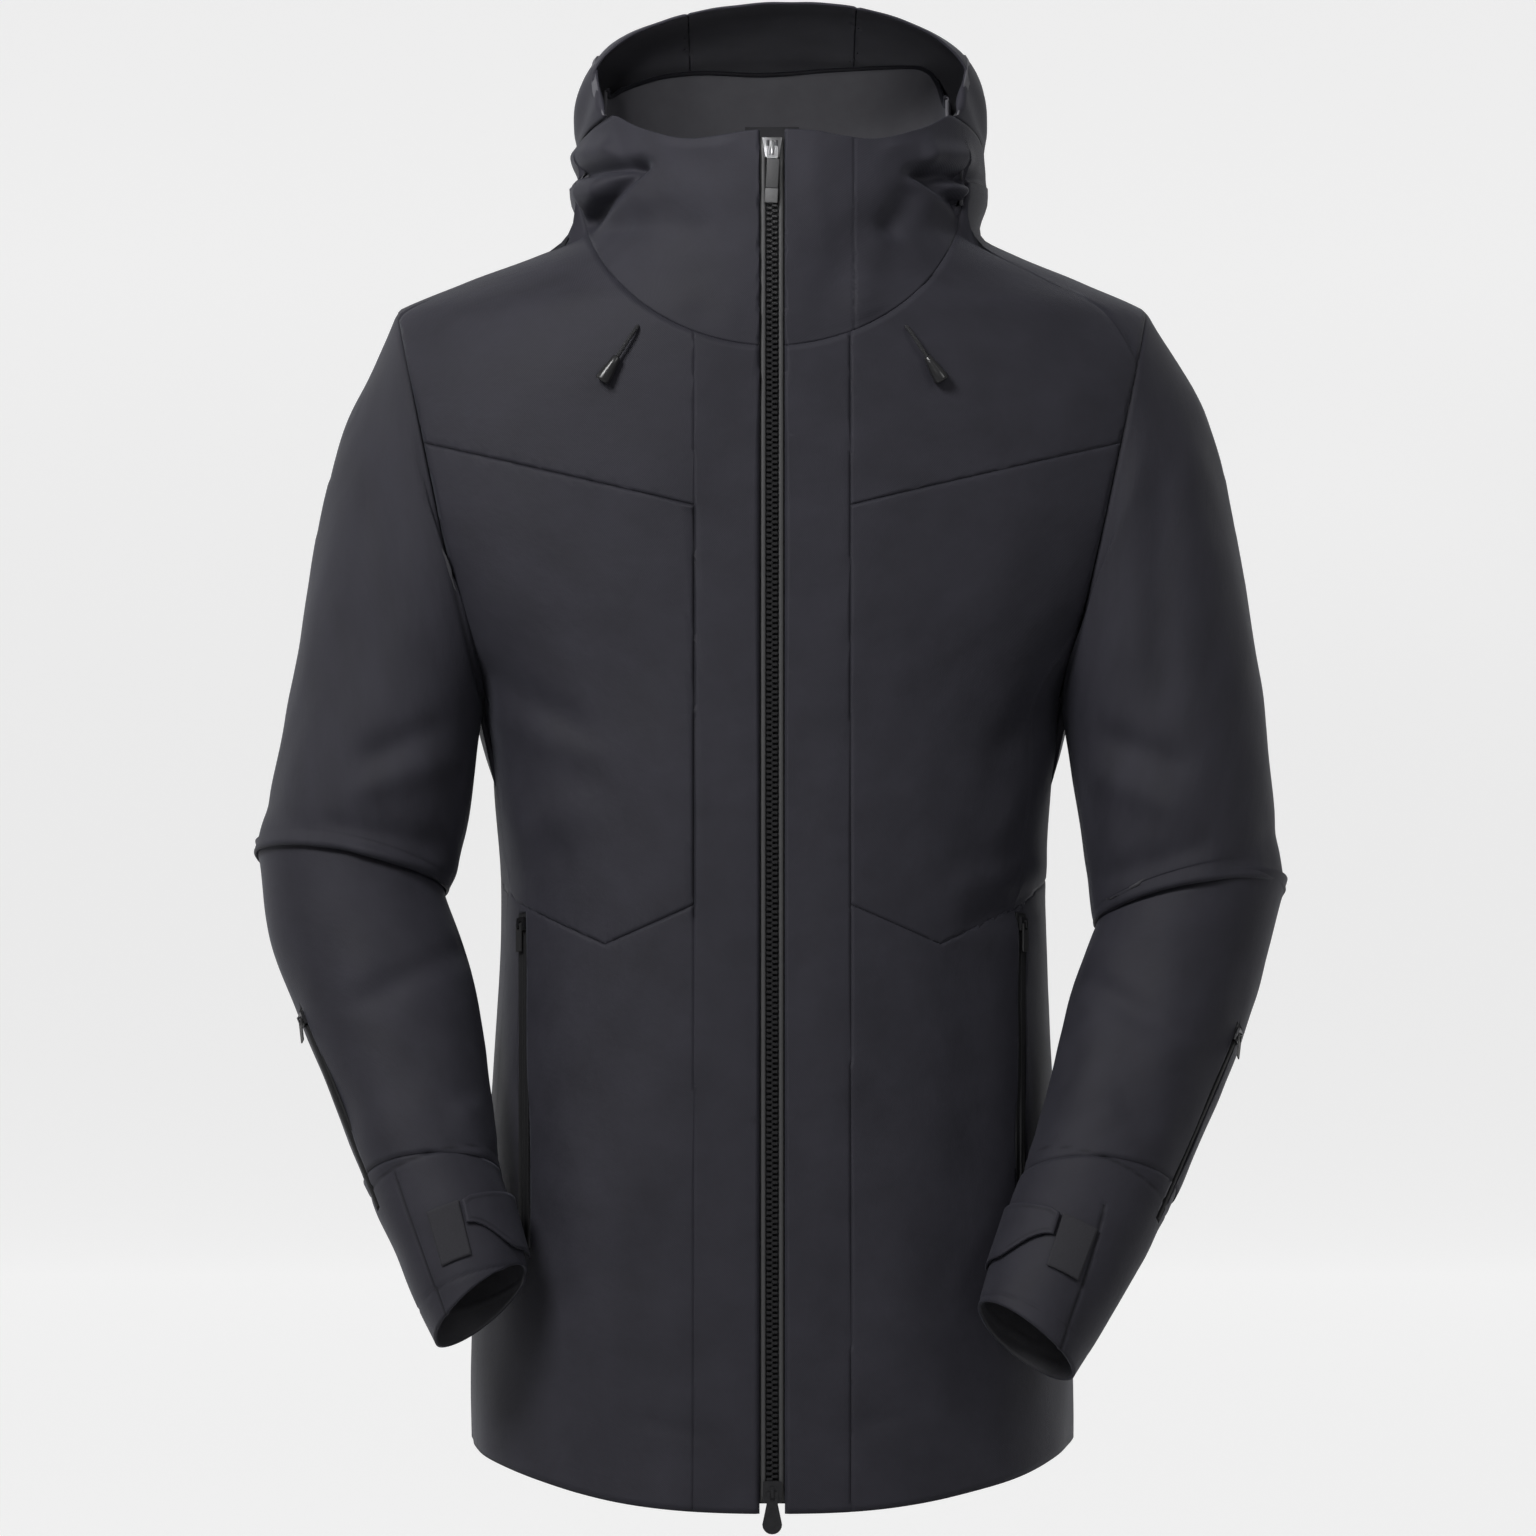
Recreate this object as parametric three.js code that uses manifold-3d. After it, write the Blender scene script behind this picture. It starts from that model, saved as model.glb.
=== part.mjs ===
// A hooded ski shell jacket, standing open-bodied as it does on a wearer: cut panels, two-way front zip,
// zipped pockets, articulated sleeves with strapped cuffs, standing collar and three-panel hood.
// Millimetres. X is across (the wearer's left is +X), Y is towards the back, Z is up.
// Shapes are drawn about the body's own middle, and the last group puts the hang loop at the origin.
import * as THREE from "three";
import { mergeVertices } from "three/addons/utils/BufferGeometryUtils.js";
import Module from "manifold-3d";

const wasm = await Module();
wasm.setup();

// ---- Driving dimensions ----
const wall = 3; // shell fabric with its lining and seam tape
const gap = 0.5; // between panels that are sewn edge to edge
const seat = 0.3; // between a piece and what it lies on
const bodySides = 44; // facets round the body
const sleeveSides = 24;

const hemZ = -802;
const zipTop = { y: -112, z: 26 }; // the closed end of the front zip, at the chin
const zipBottom = { y: -158, z: -797 }; // the open end, at the hem
const zipSlot = 7.5; // half the width between the two front edges
const tapeHalf = 13; // half the width of both zip tapes together
const tapeThick = 1;
const chainHalf = 3.4; // half the width of the closed teeth
const chainThick = 2.6;

const placketHalf = 47; // from the zip to the seam beside each placket
const yokeSeam = { inner: { x: 47, z: -200 }, outer: { x: 210, z: -161 } };
const pocketPanel = { foot: -440, point: { x: 101, z: -464 }, outer: { x: 153, z: -441 }, side: { x: 172, z: -424 } };
const backYokeZ = -175;
const neckSeam = { rx: 118, rz: 104 }; // the front neck seam is an ellipse about the middle of the neck
const armhole = { top: { x: 231, z: -78 }, bottom: { x: 179, z: -310 } };

const loopHalf = 22;
const loopBar = 2;
const loopDeep = 6;
const loopDrop = 16;

// Outer half width, back depth and squareness of the body and hood at each height, hem first.
const bodyStations = [
  { z: -806, half: 185, back: 146, power: 2.5 },
  { z: -700, half: 185, back: 141, power: 2.5 },
  { z: -560, half: 174, back: 129, power: 2.45 },
  { z: -450, half: 168, back: 121, power: 2.4 },
  { z: -380, half: 171, back: 121, power: 2.4 },
  { z: -310, half: 182, back: 124, power: 2.4 },
  { z: -250, half: 222, back: 124, power: 2.35 },
  { z: -190, half: 252, back: 121, power: 2.25 },
  { z: -130, half: 258, back: 113, power: 2.05 },
  { z: -80, half: 238, back: 100, power: 1.75 },
  { z: -58, half: 192, back: 94, power: 1.65 },
  { z: -42, half: 150, back: 89, power: 1.8 },
  { z: -28, half: 123, back: 89, power: 2.0 },
  { z: 0, half: 128, back: 106, power: 2.1 },
  { z: 26, half: 128, back: 121, power: 2.1 },
  { z: 60, half: 118, back: 130, power: 2.1 },
  { z: 80, half: 110, back: 124, power: 2.1 },
  { z: 94, half: 98, back: 108, power: 2.2 },
  { z: 104, half: 74, back: 80, power: 2.2 },
  { z: 110, half: 40, back: 30, power: 2.2 },
];
const crownFront = [ // the front of the hood above the chin
  { z: 26, y: -112 },
  { z: 60, y: -100 },
  { z: 80, y: -90 },
  { z: 94, y: -82 },
  { z: 104, y: -74 },
  { z: 110, y: -62 },
];

// ---- Solids ----
function solid(geometry) {
  const bare = geometry.index ? geometry.toNonIndexed() : geometry.clone();
  bare.deleteAttribute("normal");
  bare.deleteAttribute("uv");
  const merged = mergeVertices(bare, 1e-4);
  return new wasm.Manifold(new wasm.Mesh({
    numProp: 3,
    vertProperties: new Float32Array(merged.attributes.position.array),
    triVerts: new Uint32Array(merged.index.array),
  }));
}

function geometryOf(manifold) {
  const made = manifold.getMesh();
  return new THREE.BufferGeometry()
    .setAttribute("position", new THREE.BufferAttribute(new Float32Array(made.vertProperties), 3))
    .setIndex(new THREE.BufferAttribute(new Uint32Array(made.triVerts), 1));
}

// Turns a closed skin the right way out, whichever way its rings ran.
function facesOut(geometry) {
  const made = solid(geometry);
  if (made.volume() > 0) return geometryOf(made);
  const whole = mergeVertices(geometry);
  const index = whole.index.array;
  for (let i = 0; i < index.length; i += 3) [index[i], index[i + 1]] = [index[i + 1], index[i]];
  return geometryOf(solid(whole));
}

// A closed skin over rings of points, each ring listed anticlockwise when seen from the end it grows to.
function loft(rings) {
  const sides = rings[0].length;
  const points = [];
  const faces = [];
  for (const ring of rings) points.push(...ring);
  const last = (rings.length - 1) * sides;
  for (let r = 0; r < rings.length - 1; r++) {
    for (let s = 0; s < sides; s++) {
      const a = r * sides + s;
      const b = r * sides + ((s + 1) % sides);
      faces.push(a, b, b + sides, a, b + sides, a + sides);
    }
  }
  const middle = (ring) => ring.reduce((sum, p) => sum.clone().add(p), new THREE.Vector3()).divideScalar(sides);
  points.push(middle(rings[0]), middle(rings.at(-1)));
  for (let s = 0; s < sides; s++) {
    const next = (s + 1) % sides;
    faces.push(points.length - 2, next, s);
    faces.push(points.length - 1, last + s, last + next);
  }
  const made = new THREE.BufferGeometry().setFromPoints(points);
  made.setIndex(faces);
  return made;
}

// An outline of [x, z] points pushed along Y, or of [y, z] points pushed along X.
function slabY(outline, y0, y1) {
  const shape = new THREE.Shape(outline.map(([x, z]) => new THREE.Vector2(x, z)));
  const made = new THREE.ExtrudeGeometry(shape, { depth: y1 - y0, bevelEnabled: false });
  return made.rotateX(Math.PI / 2).translate(0, y1, 0);
}

function slabX(outline, x0, x1) {
  const shape = new THREE.Shape(outline.map(([y, z]) => new THREE.Vector2(y, z)));
  const made = new THREE.ExtrudeGeometry(shape, { depth: x1 - x0, bevelEnabled: false });
  const turn = new THREE.Matrix4().makeBasis(
    new THREE.Vector3(0, 1, 0), new THREE.Vector3(0, 0, 1), new THREE.Vector3(1, 0, 0));
  return made.applyMatrix4(turn).translate(x0, 0, 0);
}

const box = (x0, x1, y0, y1, z0, z1) =>
  new THREE.BoxGeometry(x1 - x0, y1 - y0, z1 - z0).translate((x0 + x1) / 2, (y0 + y1) / 2, (z0 + z1) / 2);

// ---- The body and hood surface ----
function between(stations, key, z) {
  const top = stations.findIndex((s) => s.z >= z);
  if (top <= 0) return stations.at(top < 0 ? -1 : 0)[key];
  const a = stations[top - 1];
  const b = stations[top];
  return a[key] + ((b[key] - a[key]) * (z - a.z)) / (b.z - a.z);
}

const zipSlope = (zipTop.y - zipBottom.y) / (zipTop.z - zipBottom.z);
const zipY = (z) => zipTop.y + (z - zipTop.z) * zipSlope;
const frontY = (z) => (z > zipTop.z ? between(crownFront, "y", z) : zipY(z));

function bodyRing(z, inset) {
  const half = between(bodyStations, "half", z) - inset;
  const front = -frontY(z) - inset;
  const back = between(bodyStations, "back", z) - inset;
  const power = 2 / between(bodyStations, "power", z);
  const ring = [];
  for (let i = 0; i < bodySides; i++) {
    const angle = (2 * Math.PI * (i + 0.5)) / bodySides;
    const c = Math.cos(angle);
    const s = Math.sin(angle);
    const x = half * Math.sign(c) * Math.abs(c) ** power;
    const y = (s < 0 ? front : back) * Math.sign(s) * Math.abs(s) ** power;
    ring.push(new THREE.Vector3(x, y, z));
  }
  return ring;
}

// Y of the outer front surface at x, z.
function surfaceY(x, z) {
  const power = between(bodyStations, "power", z);
  const share = Math.min(1, Math.abs(x) / between(bodyStations, "half", z));
  return frontY(z) * (1 - share ** power) ** (1 / power);
}

const heights = bodyStations.map((s) => s.z);
const outer = solid(loft(heights.map((z) => bodyRing(z, 0))));
// The hollow runs out past the hem and stops one wall below the crown.
const hollowHeights = [hemZ - 20, ...heights.slice(1, -1), bodyStations.at(-1).z - wall];
const hollow = solid(loft(hollowHeights.map((z) => bodyRing(z, wall))));
const shell = outer.subtract(hollow);

// The half-space outside each armhole, taken off the body so the sleeve can start there.
function armholeCut(side, extra = 0) {
  const { top, bottom } = armhole;
  const slope = (top.x - bottom.x) / (top.z - bottom.z);
  const low = -345;
  const high = top.z + 24;
  const xAt = (z) => bottom.x + (z - bottom.z) * slope + extra;
  return solid(slabY([[xAt(low), low], [400, low], [400, high], [xAt(high), high]]
    .map(([x, z]) => [side * x, z]), -200, 200));
}

// The half-space inside each armhole, which the sleeve keeps out of.
function armholeRest(side) {
  const { top, bottom } = armhole;
  const slope = (top.x - bottom.x) / (top.z - bottom.z);
  const xAt = (z) => bottom.x + (z - bottom.z) * slope + gap;
  const low = -420;
  return solid(slabY([[0, low], [xAt(low), low], [xAt(60), 60], [0, 60]]
    .map(([x, z]) => [side * x, z]), -200, 200));
}

// Where the hood meets the collar: a sloping plane from the nape up to the corner of the face opening.
const nape = { y: 104, z: -6 };
const hoodFoot = { y: -66, z: 40 };
const hoodLine = (y) => nape.z + ((y - nape.y) * (hoodFoot.z - nape.z)) / (hoodFoot.y - nape.y);
const aboveHoodLine = (lift) => solid(slabX([
  [-300, hoodLine(-300) + lift], [300, hoodLine(300) + lift], [300, 400], [-300, 400]], -300, 300));
const belowHoodLine = (lift) => solid(slabX([
  [-300, -300], [300, -300], [300, hoodLine(300) + lift], [-300, hoodLine(-300) + lift]], -300, 300));

// The face opening: its rim in side view, from the front zip over the chin edge and up to the brim.
const rim = [
  [-300, 26], [-112, 26], [-100, 21], [-84, 23], [-66, 40],
  [-52, 56], [-46, 76], [-50, 94], [-58, 106], [-70, 130], [-300, 130]];
const faceOpening = solid(slabX(rim, -200, 200));

// All that lies above the neck seam: the ellipse in front, sloping down to the nape behind.
const backNeckZ = -30;
function neckCut(scale) {
  const outline = [];
  const steps = 28;
  for (let i = 0; i <= steps; i++) {
    const angle = Math.PI + (Math.PI * i) / steps;
    outline.push([neckSeam.rx * scale * Math.cos(angle), neckSeam.rz * scale * Math.sin(angle)]);
  }
  const drop = (scale - 1) * neckSeam.rx;
  outline.push([200, -drop], [200, 300], [-200, 300], [-200, -drop]);
  const back = [[-1 - drop, -drop], [140, backNeckZ - drop], [140, 300], [-1 - drop, 300]];
  return solid(slabY(outline, -300, 0)).add(solid(slabX(back, -200, 200)));
}

const neckAbove = neckCut(1);
const neckBelow = neckCut(1 + gap / neckSeam.rx);
const bodyShell = shell.subtract(neckBelow);
const headShell = shell.intersect(neckAbove).subtract(faceOpening);
const torsoShell = bodyShell
  .subtract(armholeCut(1))
  .subtract(armholeCut(-1))
  .subtract(solid(box(-300, 300, -300, 300, -900, hemZ)));

const frontOf = (outline) => solid(slabY(outline, -300, -gap / 2));
const backOf = (z0, z1) => solid(box(-300, 300, gap / 2, 300, z0, z1));

// Front panels of one side, as outlines in front view.
function frontPanels(side) {
  const { inner, outer: out } = yokeSeam;
  const slope = (out.z - inner.z) / (out.x - inner.x);
  const seamAt = (x) => inner.z + (x - inner.x) * slope;
  const half = gap / 2;
  const { foot, point, outer: low, side: edge } = pocketPanel;
  const mirror = (outline) => outline.map(([x, z]) => [side * x, z]);
  const below = (lift) => [
    [300, edge.z + 30 + lift], [edge.x, edge.z + lift], [low.x, low.z + lift],
    [point.x, point.z + lift], [placketHalf + half, foot + lift]];
  return {
    placket: mirror([[zipSlot, -900], [placketHalf - half, -900], [placketHalf - half, 200], [zipSlot, 200]]),
    yoke: mirror([[placketHalf + half, seamAt(placketHalf) + half], [300, seamAt(300) + half],
      [300, 200], [placketHalf + half, 200]]),
    chest_panel: mirror([[placketHalf + half, seamAt(placketHalf) - half], ...below(half).reverse(),
      [300, seamAt(300) - half]]),
    front_lower: mirror([...below(-half), [placketHalf + half, -900], [300, -900]]),
  };
}

// ---- Looks ----
const finish = (color, roughness, metalness = 0) => new THREE.MeshStandardMaterial({ color, roughness, metalness });
const shellFabric = finish(0x2c2c31, 0.82);
const liningFabric = finish(0x222226, 0.9);
const tapeFabric = finish(0x1b1b1d, 0.7);
const toothPlastic = finish(0x232325, 0.42);
const pullRubber = finish(0x4c4c4e, 0.6);
const silver = finish(0xd5d5d2, 0.25, 1);
const darkMetal = finish(0x2e2e30, 0.4, 1);
const hookPile = finish(0x303035, 0.95);
const cordBlack = finish(0x19191b, 0.75);
const endPlastic = finish(0x202022, 0.5);

const jacket = new THREE.Group();

function add(name, geometry, material, group = jacket) {
  const mesh = new THREE.Mesh(geometry, material);
  mesh.name = name;
  group.add(mesh);
  return mesh;
}

const addSolid = (name, manifold, material, group) => add(name, geometryOf(manifold), material, group);
const sides = [["right", -1], ["left", 1]];

// ---- Short zips: each fills a slot in the fabric and is drawn in its own frame ----
// In that frame +Z runs up the zip and -Y faces out of the fabric.
const smallZip = { half: 5.5, tape: 0.9, chain: 1.9, chainThick: 1.3, sunk: 1.5 };
const smallSlider = { half: 3.6, length: 8 };

function zipFrame(upper, lower, outward) {
  const along = upper.clone().sub(lower).normalize();
  const inward = outward.clone().addScaledVector(along, -outward.dot(along)).normalize().negate();
  const frame = new THREE.Group();
  const across = new THREE.Vector3().crossVectors(inward, along);
  frame.quaternion.setFromRotationMatrix(new THREE.Matrix4().makeBasis(across, inward, along));
  frame.position.copy(upper).addScaledVector(inward, smallZip.sunk);
  frame.userData.length = upper.distanceTo(lower);
  frame.updateMatrix();
  return frame;
}

function slotFor(frame) {
  const half = smallZip.half + seat;
  return solid(box(-half, half, -20, 20, -frame.userData.length - seat, seat).applyMatrix4(frame.matrix));
}

function shortZip(name, frame, pullLength) {
  jacket.add(frame);
  const { half, tape, chain, chainThick } = smallZip;
  const { length } = frame.userData;
  const strip = solid(box(-half, half, -tape, 0, -length, 0))
    .add(solid(box(-chain, chain, -tape - chainThick, -tape + 0.1, -length + 2, -2)));
  addSolid(`${name}_zip`, strip, tapeFabric, frame);
  const skin = 0.8;
  const front = -tape - chainThick - 0.4 - skin;
  const clear = chain + 0.4;
  const pin = { y: front - 0.6, z: -smallSlider.length / 2, half: 0.32 };
  const cab = solid(box(-smallSlider.half, smallSlider.half, front, -tape - seat, -smallSlider.length, 0))
    .subtract(solid(box(-clear, clear, front + skin, 9, -20, 20)))
    .add(solid(box(-0.7, 0.7, front - 2, front + 0.2, pin.z - 2.2, pin.z + 2.2))
      .subtract(solid(box(-2, 2, front - 1.2, front + 0.02, pin.z - 1.4, pin.z + 1.4))));
  const start = new THREE.Group();
  start.position.z = -3;
  frame.add(start);
  addSolid(`${name}_slider`, cab, darkMetal, start);
  const plate = solid(box(-2.8, 2.8, pin.y - 0.4, pin.y + 0.4, -pullLength, pin.z + pin.half))
    .subtract(solid(box(-1.15, 1.15, -50, 50, pin.z - 3.6, 50)));
  const rod = solid(box(-2.8, 2.8, pin.y - pin.half, pin.y + pin.half, pin.z - pin.half, pin.z + pin.half));
  // A puller whose zip overhangs falls away from it, so it is drawn hanging straight down.
  const down = new THREE.Vector3(0, 0, -1).applyQuaternion(frame.quaternion.clone().invert());
  const hang = new THREE.Group();
  hang.position.set(0, pin.y, pin.z);
  hang.rotation.x = -Math.max(0, Math.atan2(-down.y, -down.z));
  start.add(hang);
  addSolid(`${name}_puller`, plate.add(rod).translate([0, -pin.y, -pin.z]), pullRubber, hang);
}

const handZip = { x: 152, top: -446, bottom: -648, pull: 21 };
const handFrames = sides.map(([, side]) => {
  const point = (x, z) => new THREE.Vector3(side * x, surfaceY(x, z), z);
  const middle = (handZip.top + handZip.bottom) / 2;
  const slope = (surfaceY(handZip.x + 3, middle) - surfaceY(handZip.x - 3, middle)) / 6;
  const outward = new THREE.Vector3(side * slope, -1, 0).normalize();
  return zipFrame(point(handZip.x, handZip.top), point(handZip.x - 1, handZip.bottom), outward);
});

// ---- Body panels ----
const slotted = handFrames.reduce((shape, frame) => shape.subtract(slotFor(frame)), torsoShell);
for (const [name, side] of sides) {
  for (const [panel, outline] of Object.entries(frontPanels(side))) {
    addSolid(`${panel}_${name}`, slotted.intersect(frontOf(outline)), shellFabric);
  }
}
addSolid("back_yoke", torsoShell.intersect(backOf(backYokeZ + gap / 2, 200)), shellFabric);
addSolid("back_panel", torsoShell.intersect(backOf(-900, backYokeZ - gap / 2)), shellFabric);

// ---- Collar and hood ----
const collarShell = headShell.intersect(belowHoodLine(-gap));
for (const [name, side] of sides) {
  const x = [side * zipSlot, side * 200].sort((a, b) => a - b);
  const half = solid(box(x[0], x[1], -300, 300, -300, 300));
  addSolid(`collar_${name}`, collarShell.intersect(half), shellFabric);
}

const crownHalf = 52; // the hood's middle panel
const hoodShell = headShell.intersect(aboveHoodLine(gap));
addSolid("hood_centre", hoodShell.intersect(solid(box(-crownHalf, crownHalf, -300, 300, -50, 300))), shellFabric);
for (const [name, side] of sides) {
  const x = [side * (crownHalf + gap), side * 200].sort((a, b) => a - b);
  addSolid(`hood_side_${name}`, hoodShell.intersect(solid(box(x[0], x[1], -300, 300, -50, 300))), shellFabric);
}

// The inner collar is a band that stands up inside the hood, round the back of the neck.
const innerCollar = { half: 104, back: 74, thick: 4, low: -18, high: 80, end: 4, power: 2.8 };
function collarBand(inset) {
  const flat = 2 / innerCollar.power;
  const steps = 21;
  const outline = [];
  for (let i = 0; i <= steps; i++) {
    const angle = (Math.PI * i) / steps;
    outline.push(new THREE.Vector2(
      (innerCollar.half - inset) * Math.sign(Math.cos(angle)) * Math.abs(Math.cos(angle)) ** flat,
      innerCollar.end + (innerCollar.back - innerCollar.end - inset) * Math.sin(angle) ** flat));
  }
  return outline;
}
const extrudeBand = (outline, low, high) => solid(new THREE.ExtrudeGeometry(new THREE.Shape(outline), {
  depth: high - low, bevelEnabled: false,
}).translate(0, 0, low));
const band = extrudeBand([...collarBand(0), ...collarBand(innerCollar.thick).reverse()],
  innerCollar.low, innerCollar.high);
// A ledge at its foot reaches out to the neck seam, where it is sewn in.
const ledgeTop = innerCollar.low + innerCollar.thick;
const neckHollow = solid(loft([-28, 0].map((z) => bodyRing(z, wall + gap))));
const ledge = neckHollow
  .intersect(solid(box(-200, 200, innerCollar.end, 200, innerCollar.low, ledgeTop)))
  .subtract(extrudeBand(collarBand(innerCollar.thick / 2), innerCollar.low - 1, ledgeTop + 1));
addSolid("inner_collar", band.add(ledge), liningFabric);

// The hang loop: a flat bar with a leg at each end, sewn to the inside of the collar.
const loopBack = innerCollar.back - innerCollar.thick - 2 * seat - 0.4;
const loopFront = loopBack - loopDeep;
const loopLeg = 3;
add("hang_loop", slabY([
  [-loopHalf, loopBar], [-loopHalf, -loopDrop], [-loopHalf + loopLeg, -loopDrop], [-loopHalf + loopLeg, 0],
  [loopHalf - loopLeg, 0], [loopHalf - loopLeg, -loopDrop], [loopHalf, -loopDrop], [loopHalf, loopBar],
], loopFront, loopBack), tapeFabric);
const label = { half: 17, low: 12, high: 46, thick: 0.8 };
add("neck_label", box(-label.half, label.half, loopBack - label.thick, loopBack, label.low, label.high), liningFabric);

// ---- Front zip: everything on it is drawn along a straight leaning line ----
const zipLength = Math.hypot(zipTop.z - zipBottom.z, zipTop.y - zipBottom.y);
const zip = new THREE.Group();
zip.position.set(0, zipBottom.y, zipBottom.z);
zip.rotation.x = -Math.atan(zipSlope);
jacket.add(zip);

const tapeFront = wall + 1.2; // the tapes lie behind the front edges, clear of their curve
const chainBack = tapeFront - seat;
const chainFront = chainBack - chainThick;
const zipClear = 0.5;
const boxTop = 11; // the retainer box and the pin stand inside the bottom slider when the zip is shut
for (const [name, side] of sides) {
  const span = (a, b) => [side * a, side * b].sort((p, q) => p - q);
  const tape = span(0.3, tapeHalf);
  add(`zip_tape_${name}`, box(tape[0], tape[1], tapeFront, tapeFront + tapeThick, 1, zipLength - 2), tapeFabric, zip);
  const chain = span(0.15, chainHalf);
  add(`zip_teeth_${name}`, box(chain[0], chain[1], chainFront, chainBack, boxTop + seat, zipLength - 10), toothPlastic, zip);
}
add("zip_retainer_box", box(0.15, chainHalf, chainFront, chainBack, 1, boxTop), toothPlastic, zip);
add("zip_insertion_pin", box(-2.4, -0.15, chainFront, chainBack, 1, boxTop), toothPlastic, zip);

const storm = { half: 20, thick: 2 };
add("storm_flap", box(-storm.half, storm.half, tapeFront + tapeThick + seat,
  tapeFront + tapeThick + seat + storm.thick, 6, zipLength - 4), liningFabric, zip);

// A slider rides over the teeth as a channel, with a bail on its face for the puller's pin.
const sliderSize = { half: 5.6, length: 13, skin: 1.2, depth: 2.6 };
const bail = { half: 0.9, reach: 3.2, hole: 1.9, out: 2.6, depth: 1.5 };
const pin = { y: bail.depth / 2, half: 0.4 };
const sliderFront = chainFront - zipClear - sliderSize.skin;
function slider() {
  const { half, length, skin, depth } = sliderSize;
  const front = sliderFront;
  const flange = chainHalf + zipClear;
  const body = solid(box(-half, half, front, front + skin + depth, -length / 2, length / 2));
  const channel = solid(box(-flange, flange, front + skin, 50, -length, length));
  const arch = solid(box(-bail.half, bail.half, front - bail.out, front + 0.4, -bail.reach, bail.reach))
    .subtract(solid(box(-2, 2, front - bail.depth, front + 0.05, -bail.hole, bail.hole)));
  return body.subtract(channel).add(arch);
}

// The part of a puller that holds its pin: a plate with a slot that clears the bail.
const eye = { half: 3.4, slot: 1.4, slotLength: 4.4, length: 7, thick: 1 };
function pullerEye() {
  const y = sliderFront - pin.y;
  const plate = solid(box(-eye.half, eye.half, y - eye.thick / 2, y + eye.thick / 2, -eye.length, pin.half))
    .subtract(solid(box(-eye.slot, eye.slot, -50, 50, -eye.slotLength - pin.half, 50)));
  return plate.add(solid(box(-eye.half, eye.half, y - pin.half, y + pin.half, -pin.half, pin.half)));
}

const topSlider = { z: zipLength - 10, tabHalf: 3.9, tabLength: 34, tabThick: 1.4 };
const top = new THREE.Group();
top.position.z = topSlider.z;
zip.add(top);
addSolid("top_slider", slider(), silver, top);
addSolid("top_puller_link", pullerEye(), silver, top);
add("top_puller_tab", box(-topSlider.tabHalf, topSlider.tabHalf, sliderFront - pin.y - topSlider.tabThick / 2,
  sliderFront - pin.y + topSlider.tabThick / 2, -topSlider.tabLength, -eye.length - seat), pullRubber, top);

// The bottom slider's puller is a teardrop that hangs past the hem.
const bottomSlider = { z: 8, dropHalf: 5.9, dropLength: 25 };
const bottom = new THREE.Group();
bottom.position.z = bottomSlider.z;
zip.add(bottom);
addSolid("bottom_slider", slider(), darkMetal, bottom);
function teardrop(half, foot, tip) {
  const outline = [];
  const steps = 10;
  for (let i = 0; i <= steps; i++) {
    const angle = Math.PI + (Math.PI * i) / steps;
    outline.push([half * Math.cos(angle), foot + half + half * Math.sin(angle)]);
  }
  const shoulder = half * 0.55;
  outline.push([shoulder, tip], [-shoulder, tip]);
  const y = sliderFront - pin.y;
  return solid(slabY(outline, y - eye.thick / 2, y + eye.thick / 2));
}
const drop = teardrop(bottomSlider.dropHalf, -bottomSlider.dropLength, -eye.length + 0.5);
addSolid("bottom_puller", pullerEye().add(drop), darkMetal, bottom);

// ---- Hand pockets ----
sides.forEach(([name], i) => shortZip(`hand_pocket_${name}`, handFrames[i], handZip.pull));

// Pocket bags lie inside the front, behind their openings.
const bagThick = 3;
const bagBehind = 0.6;
const bags = {
  hand: { near: 62, far: 142, low: -690, high: -470 },
  chest: { near: 54, far: 128, low: -452, high: -230 },
};
const layer = (inset) => solid(loft(heights.map((z) => bodyRing(z, inset))));
const bagLayer = layer(wall + bagBehind).subtract(layer(wall + bagBehind + bagThick));
for (const [name, side] of sides) {
  for (const [kind, { near, far, low, high }] of Object.entries(bags)) {
    const [x0, x1] = [side * near, side * far].sort((a, b) => a - b);
    const bag = bagLayer.intersect(solid(box(x0, x1, -300, 0, low, high)));
    addSolid(`${kind}_pocket_bag_${name}`, bag, liningFabric);
  }
}

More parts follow.
